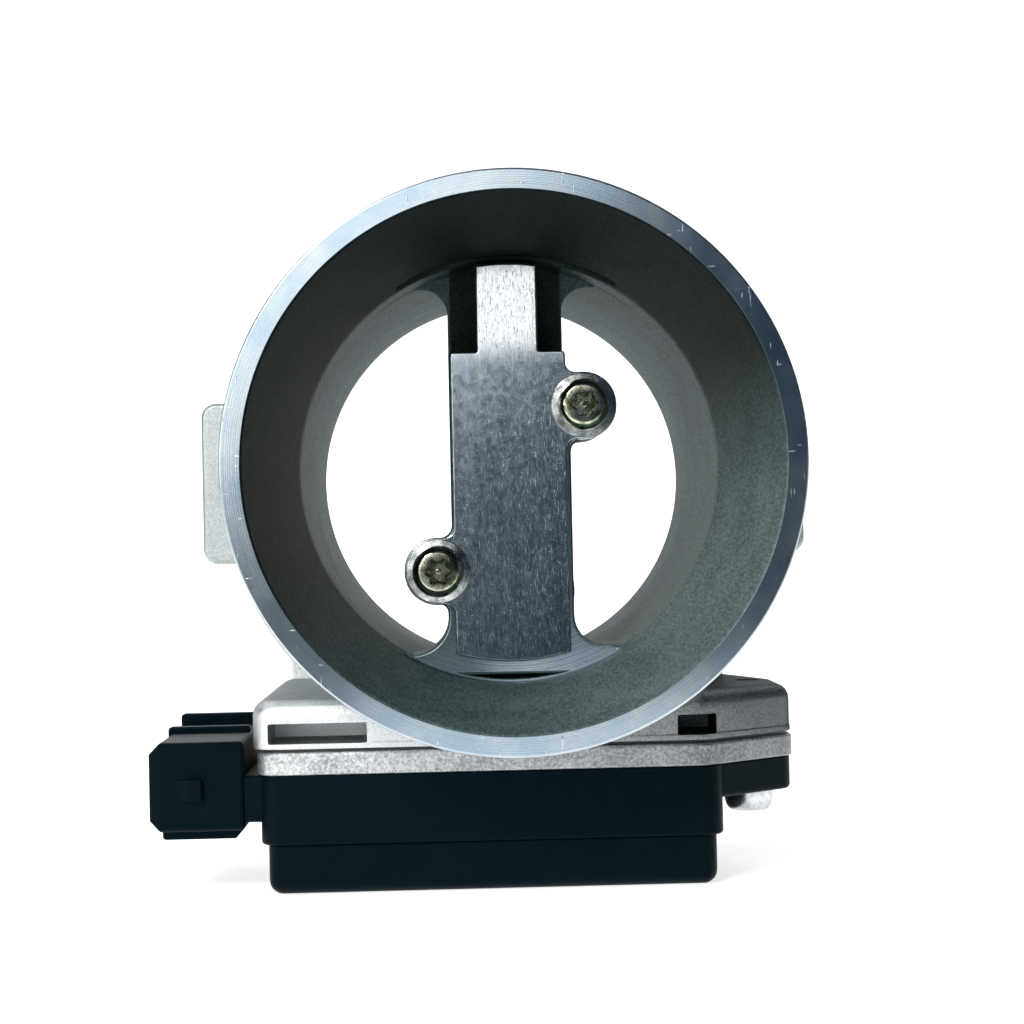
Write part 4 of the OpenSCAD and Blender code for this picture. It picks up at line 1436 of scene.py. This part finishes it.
@dataclass
class ElectronicsModule:
    """Base plate, moulded case with the plug socket, lid, and the two screws that hold them."""

    layout: Layout
    socket: PlugSocket
    screw_at: tuple = MODULE_SCREWS
    stem_at: tuple[float, float] = (0.0, STEM_Y)
    wall: float = 2.2
    ear_t: float = 5.2
    notch: float = 10.4

    def base_plate(self) -> None:
        """Cast plate with softly rounded edges."""
        low, high = self.layout.low("base_plate", 2), self.layout.high("base_plate", 2)
        plate = prism("sensor_base_plate", module_plan(0.4), Axis.Z, low, high, 0.35, 0.55)
        holes = [rod("hole", Axis.Z, at, CLEAR_R, low - 1, high + 1, segments=HOLE_STEPS) for at in self.screw_at]
        holes.append(rod("hole", Axis.Z, self.stem_at, 6.0, low - 1, high + 1))
        carve(plate, holes, Cut.REMOVE)
        deliver(plate, "base_plate", GritCast("plate_casting").material())

    def case(self) -> None:
        """Moulded case: walls, screw ears, the socket and the groove for the lid."""
        foot, top = self.layout.low("module_housing", 2), self.layout.low("base_plate", 2)
        body = prism("module_case", case_plan(), Axis.Z, foot, top, 0.55, 0.3)
        rim = prism("ear", module_plan(), Axis.Z, top - self.ear_t, top, 0.7, 0.3)
        span = block("span", (MODULE_X[1] - 6.0, MODULE_Y[0] - 1, top - 20), (EAR_X + 9, MODULE_Y[1] + 1, top + 5))
        corner = block("corner", (MODULE_X[0] - 1, MODULE_Y[1] - self.notch - 2, top - 20),
                       (MODULE_X[0] + self.notch + 2, MODULE_Y[1] + 1, top + 5))
        carve(rim, [carve(span, [corner], Cut.ADD)], Cut.KEEP_COMMON)
        carve(body, [rim, self.socket.shell(top - 0.1)], Cut.ADD)
        tools = [prism("space", case_plan(self.wall), Axis.Z, foot + 2.2, top + 1),
                 prism("opening", case_plan(self.wall + 1.3), Axis.Z, foot - 1, foot + 3),
                 carve(prism("groove", case_plan(1.9), Axis.Z, foot - 1, foot + 1.4),
                       [prism("core", case_plan(3.3), Axis.Z, foot - 2, foot + 2)], Cut.REMOVE)]
        tools += [rod("hole", Axis.Z, at, 3.25, top - self.ear_t - 1, top + 1) for at in self.screw_at]
        carve(body, tools + self.socket.hollows(), Cut.REMOVE)
        deliver(body, "module_housing", MouldedPlastic("black_plastic").material())

    def lid(self) -> None:
        """Moulded lid with round lower edges, a tongue for the case's groove and four ejector marks."""
        foot, top = self.layout.low("module_cover", 2), self.layout.low("module_housing", 2)
        body = prism("module_lid", case_plan(1.05, notch_r=2.4), Axis.Z, foot, top, 2.1, 0.25)
        tongue = carve(prism("tongue", case_plan(2.05), Axis.Z, top - 0.6, top + 1),
                       [prism("core", case_plan(3.15), Axis.Z, top - 2, top + 2)], Cut.REMOVE)
        carve(body, [tongue], Cut.ADD)
        tools = [prism("space", case_plan(3.05), Axis.Z, foot + 2, top - 1.2),
                 prism("opening", case_plan(3.7), Axis.Z, top - 2, top + 2)]
        tools += [rod("mark", Axis.Z, (x, y), 2.5, foot - 1.0, foot + 0.12, segments=HOLE_STEPS)
                  for x in (-30.0, 23.0) for y in (-56.0, -22.0)]
        carve(body, tools, Cut.REMOVE)
        deliver(body, "module_cover",
                MouldedPlastic("lid_plastic", (0.0009, 0.0033, 0.0054), (0.0034, 0.0082, 0.0120), 0.44).material())

    def build(self) -> None:
        """Makes the plate, the case, the lid and their fasteners."""
        self.base_plate()
        self.case()
        self.lid()
        seat = self.layout.low("base_plate", 2) - self.ear_t
        zinc = PlatedSteel("zinc_steel", (0.55, 0.57, 0.58), (0.80, 0.82, 0.83), 0.25)
        ring = PlatedSteel("zinc_washer", (0.50, 0.52, 0.53), (0.76, 0.78, 0.79), 0.24)
        deliver_fasteners(PanScrew(3.5, 14.5), Axis.Z, self.screw_at, seat, -1, ("case_screws", "case_washers"),
                          ("module_screws", "module_washers"), ("zinc_steel", "zinc_steel"), (zinc, ring))


# ---------------------------------------------------------------- parts kept from the frame


@dataclass
class KeptParts:
    """The frame's own small parts, whose shapes are right as they are and which only need a finish."""

    nodes: dict[str, bpy.types.Object]

    def dress(self) -> None:
        """Gives each kept node its finish."""
        silicone = SoftSolid("silicone", (0.045, 0.048, 0.05), (0.075, 0.08, 0.082), 0.42)
        rubber = SoftSolid("black_rubber", (0.010, 0.011, 0.012), (0.022, 0.023, 0.025), 0.46)
        tin = PlatedSteel("tinned_brass", (0.58, 0.46, 0.24), (0.80, 0.72, 0.50), 0.22)
        epoxy = SoftSolid("chip_black", (0.014, 0.014, 0.016), (0.032, 0.032, 0.034), 0.5)
        glue = SoftSolid("board_glue", (0.58, 0.58, 0.56), (0.72, 0.72, 0.70), 0.5)
        stem = SoftSolid("stem_plastic", (0.012, 0.013, 0.015), (0.026, 0.028, 0.031), 0.4)
        film = PlatedSteel("sensor_film", (0.42, 0.46, 0.52), (0.66, 0.70, 0.76), 0.3)
        finishes = {
            "base_gasket": silicone, "cover_seal": silicone, "inlet_o_ring": rubber, "stem_o_ring": rubber,
            "connector_pins": tin,
            "bond_leads": PlatedSteel("lead_wire", (0.62, 0.62, 0.60), (0.82, 0.82, 0.80), 0.2),
            "sensor_supports": tin, "hot_wire": film, "temperature_sensor": film, "sensor_stem": stem,
            "circuit_board": ThickFilm("white_ceramic"), "board_adhesive": glue, "circuit_chips": epoxy,
            "circuit_capacitors": SoftSolid("chip_tan", (0.32, 0.22, 0.12), (0.44, 0.32, 0.19), 0.45),
            "ear_sleeves": PlatedSteel("sleeve_steel", (0.52, 0.52, 0.50), (0.74, 0.74, 0.72), 0.25)}
        made: dict[str, bpy.types.Material] = {}
        for node, finish in finishes.items():
            made[finish.name] = made.get(finish.name) or finish.material()
            materials = self.nodes[node].data.materials
            materials.clear()
            materials.append(made[finish.name])
            log.info("%s keeps its shape and takes %s", node, finish.name)


# ---------------------------------------------------------------- studio


@dataclass(frozen=True)
class SoftLamp:
    """One rectangular light: places in millimetres, roll in degrees about its own axis."""

    name: str
    place: tuple[float, float, float]
    target: tuple[float, float, float]
    size: tuple[float, float]
    radiance: float
    tint: Colour
    roll: float = 0.0


WARM = (1.0, 0.99, 0.97)
LAMPS = (
    SoftLamp("panel", (-324.0, -900.0, 181.0), (-324.0, 0.0, 181.0), (700.0, 500.0), 1.3, WARM, 38.0),
    SoftLamp("key", (-660.0, -480.0, 140.0), (-20.0, -60.0, -30.0), (220.0, 220.0), 6.0, WARM),
    SoftLamp("front", (-330.0, -760.0, 430.0), (10.0, -60.0, -10.0), (180.0, 180.0), 34.0, WARM),
    SoftLamp("low_strip", (12.0, -292.0, -57.0), (5.0, -86.0, -41.0), (110.0, 12.0), 0.95, (0.96, 0.98, 1.0)),
    SoftLamp("sky", (-460.0, -60.0, 780.0), (0.0, -40.0, 0.0), (500.0, 400.0), 1.6, (0.94, 0.97, 1.0)),
    SoftLamp("wash", (0.0, 420.0, 900.0), (0.0, 1100.0, 100.0), (1400.0, 500.0), 2.5, (1.0, 1.0, 1.0)))


@dataclass
class Studio:
    """Pale floor that curves up behind the object, soft lights and the camera; the eye is in millimetres."""

    layout: Layout
    lens: float = 79.0
    yaw: float = 1.358
    pitch: float = 0.713
    roll: float = 1.25
    sensor: float = 36.0
    near_clip: float = 0.01
    room: tuple[float, float, float, float] = (0.32, 0.60, 0.94, 1.0)
    room_strength: float = 0.06
    reach: float = 700.0
    front_reach: float = 2600.0
    bend: float = 500.0
    wall: float = 1400.0
    half_width: float = 2600.0
    eye: tuple[float, float, float] = (-8.05, -404.0, -11.0)

    def floor(self) -> None:
        """One sheet: flat from in front to behind, then a quarter circle up to a wall."""
        level = self.layout.low("module_cover", 2) - 0.05
        curve = arc((self.reach, level + self.bend), self.bend, -90.0, 0.0, 32)
        path = np.concatenate([[[-self.front_reach, level]], curve, [[self.reach + self.bend, level + self.wall]]])
        across = np.linspace(-self.half_width, self.half_width, 9)
        grid = np.empty((len(path), len(across), 3))
        grid[..., 0] = across[None, :]
        grid[..., 1] = path[:, :1]
        grid[..., 2] = path[:, 1:]
        index = np.arange(grid.size // 3).reshape(grid.shape[:2])
        quads = np.stack([index[:-1, :-1], index[:-1, 1:], index[1:, 1:], index[1:, :-1]], axis=-1).reshape(-1, 4)
        mesh = bpy.data.meshes.new("studio_floor")
        mesh.from_pydata((grid.reshape(-1, 3) * MM).tolist(), [], quads.tolist())
        mesh.shade_smooth()
        mesh.materials.append(FloorPaint().material())
        sheet = bpy.data.objects.new("studio_floor", mesh)
        bpy.context.scene.collection.objects.link(sheet)

    def area(self, lamp: SoftLamp) -> None:
        """Adds one rectangular soft light; its power is radiance times pi times its area.

        Args:
            lamp: The light.
        """
        data = bpy.data.lights.new(lamp.name, "AREA")
        data.shape = "RECTANGLE"
        data.size, data.size_y = lamp.size[0] * MM, lamp.size[1] * MM
        data.energy = lamp.radiance * math.pi * data.size * data.size_y
        data.color = lamp.tint
        thing = bpy.data.objects.new(lamp.name, data)
        thing.visible_camera = False
        bpy.context.scene.collection.objects.link(thing)
        way = Vector(lamp.target) - Vector(lamp.place)
        thing.location = Vector(lamp.place) * MM
        turn = way.to_track_quat("-Z", "Y").to_matrix() @ Matrix.Rotation(math.radians(lamp.roll), 3, "Z")
        thing.rotation_euler = turn.to_euler()

    def lights(self) -> None:
        """Adds the lamps and a dim blue room."""
        for lamp in LAMPS:
            self.area(lamp)
        world = bpy.data.worlds.new("pale_room")
        world.use_nodes = True
        sky = world.node_tree.nodes["Background"]
        sky.inputs[0].default_value = self.room
        sky.inputs[1].default_value = self.room_strength
        bpy.context.scene.world = world
        bpy.context.scene.view_settings.view_transform = "Standard"

    def camera(self) -> None:
        """Places the camera: yaw and pitch give its axis, and roll turns its right and up vectors."""
        yaw, pitch, roll = (math.radians(a) for a in (self.yaw, self.pitch, self.roll))
        ahead = Vector((math.sin(yaw) * math.cos(pitch), math.cos(yaw) * math.cos(pitch), math.sin(pitch)))
        right = Vector((math.cos(yaw), -math.sin(yaw), 0.0))
        up = right.cross(ahead)
        right, up = right * math.cos(roll) - up * math.sin(roll), right * math.sin(roll) + up * math.cos(roll)
        data = bpy.data.cameras.new("camera")
        data.lens = self.lens
        data.sensor_width = self.sensor
        data.clip_start = self.near_clip
        camera = bpy.data.objects.new("camera", data)
        bpy.context.scene.collection.objects.link(camera)
        turn = Matrix((right, up, -ahead)).transposed().to_4x4()
        camera.matrix_world = Matrix.Translation(Vector(self.eye) * MM) @ turn
        bpy.context.scene.camera = camera

    def build(self) -> None:
        """Sets up the floor, the lights and the camera."""
        self.floor()
        self.lights()
        self.camera()


def corners(box: object) -> list[list[float]]:
    """A box as plain lists of numbers."""
    return [[float(value) for value in corner] for corner in box]


def main() -> None:
    """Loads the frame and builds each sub-assembly round it."""
    logging.basicConfig(level=logging.INFO, format="%(name)s: %(message)s")
    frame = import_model()
    layout = Layout.read(frame["nodes"])
    Studio(layout).build()
    DuctCasting(layout).build()
    BypassCover(layout).build()
    ElectronicsModule(layout, PlugSocket()).build()
    KeptParts(frame["nodes"]).dress()


if __name__ == "__main__":
    main()
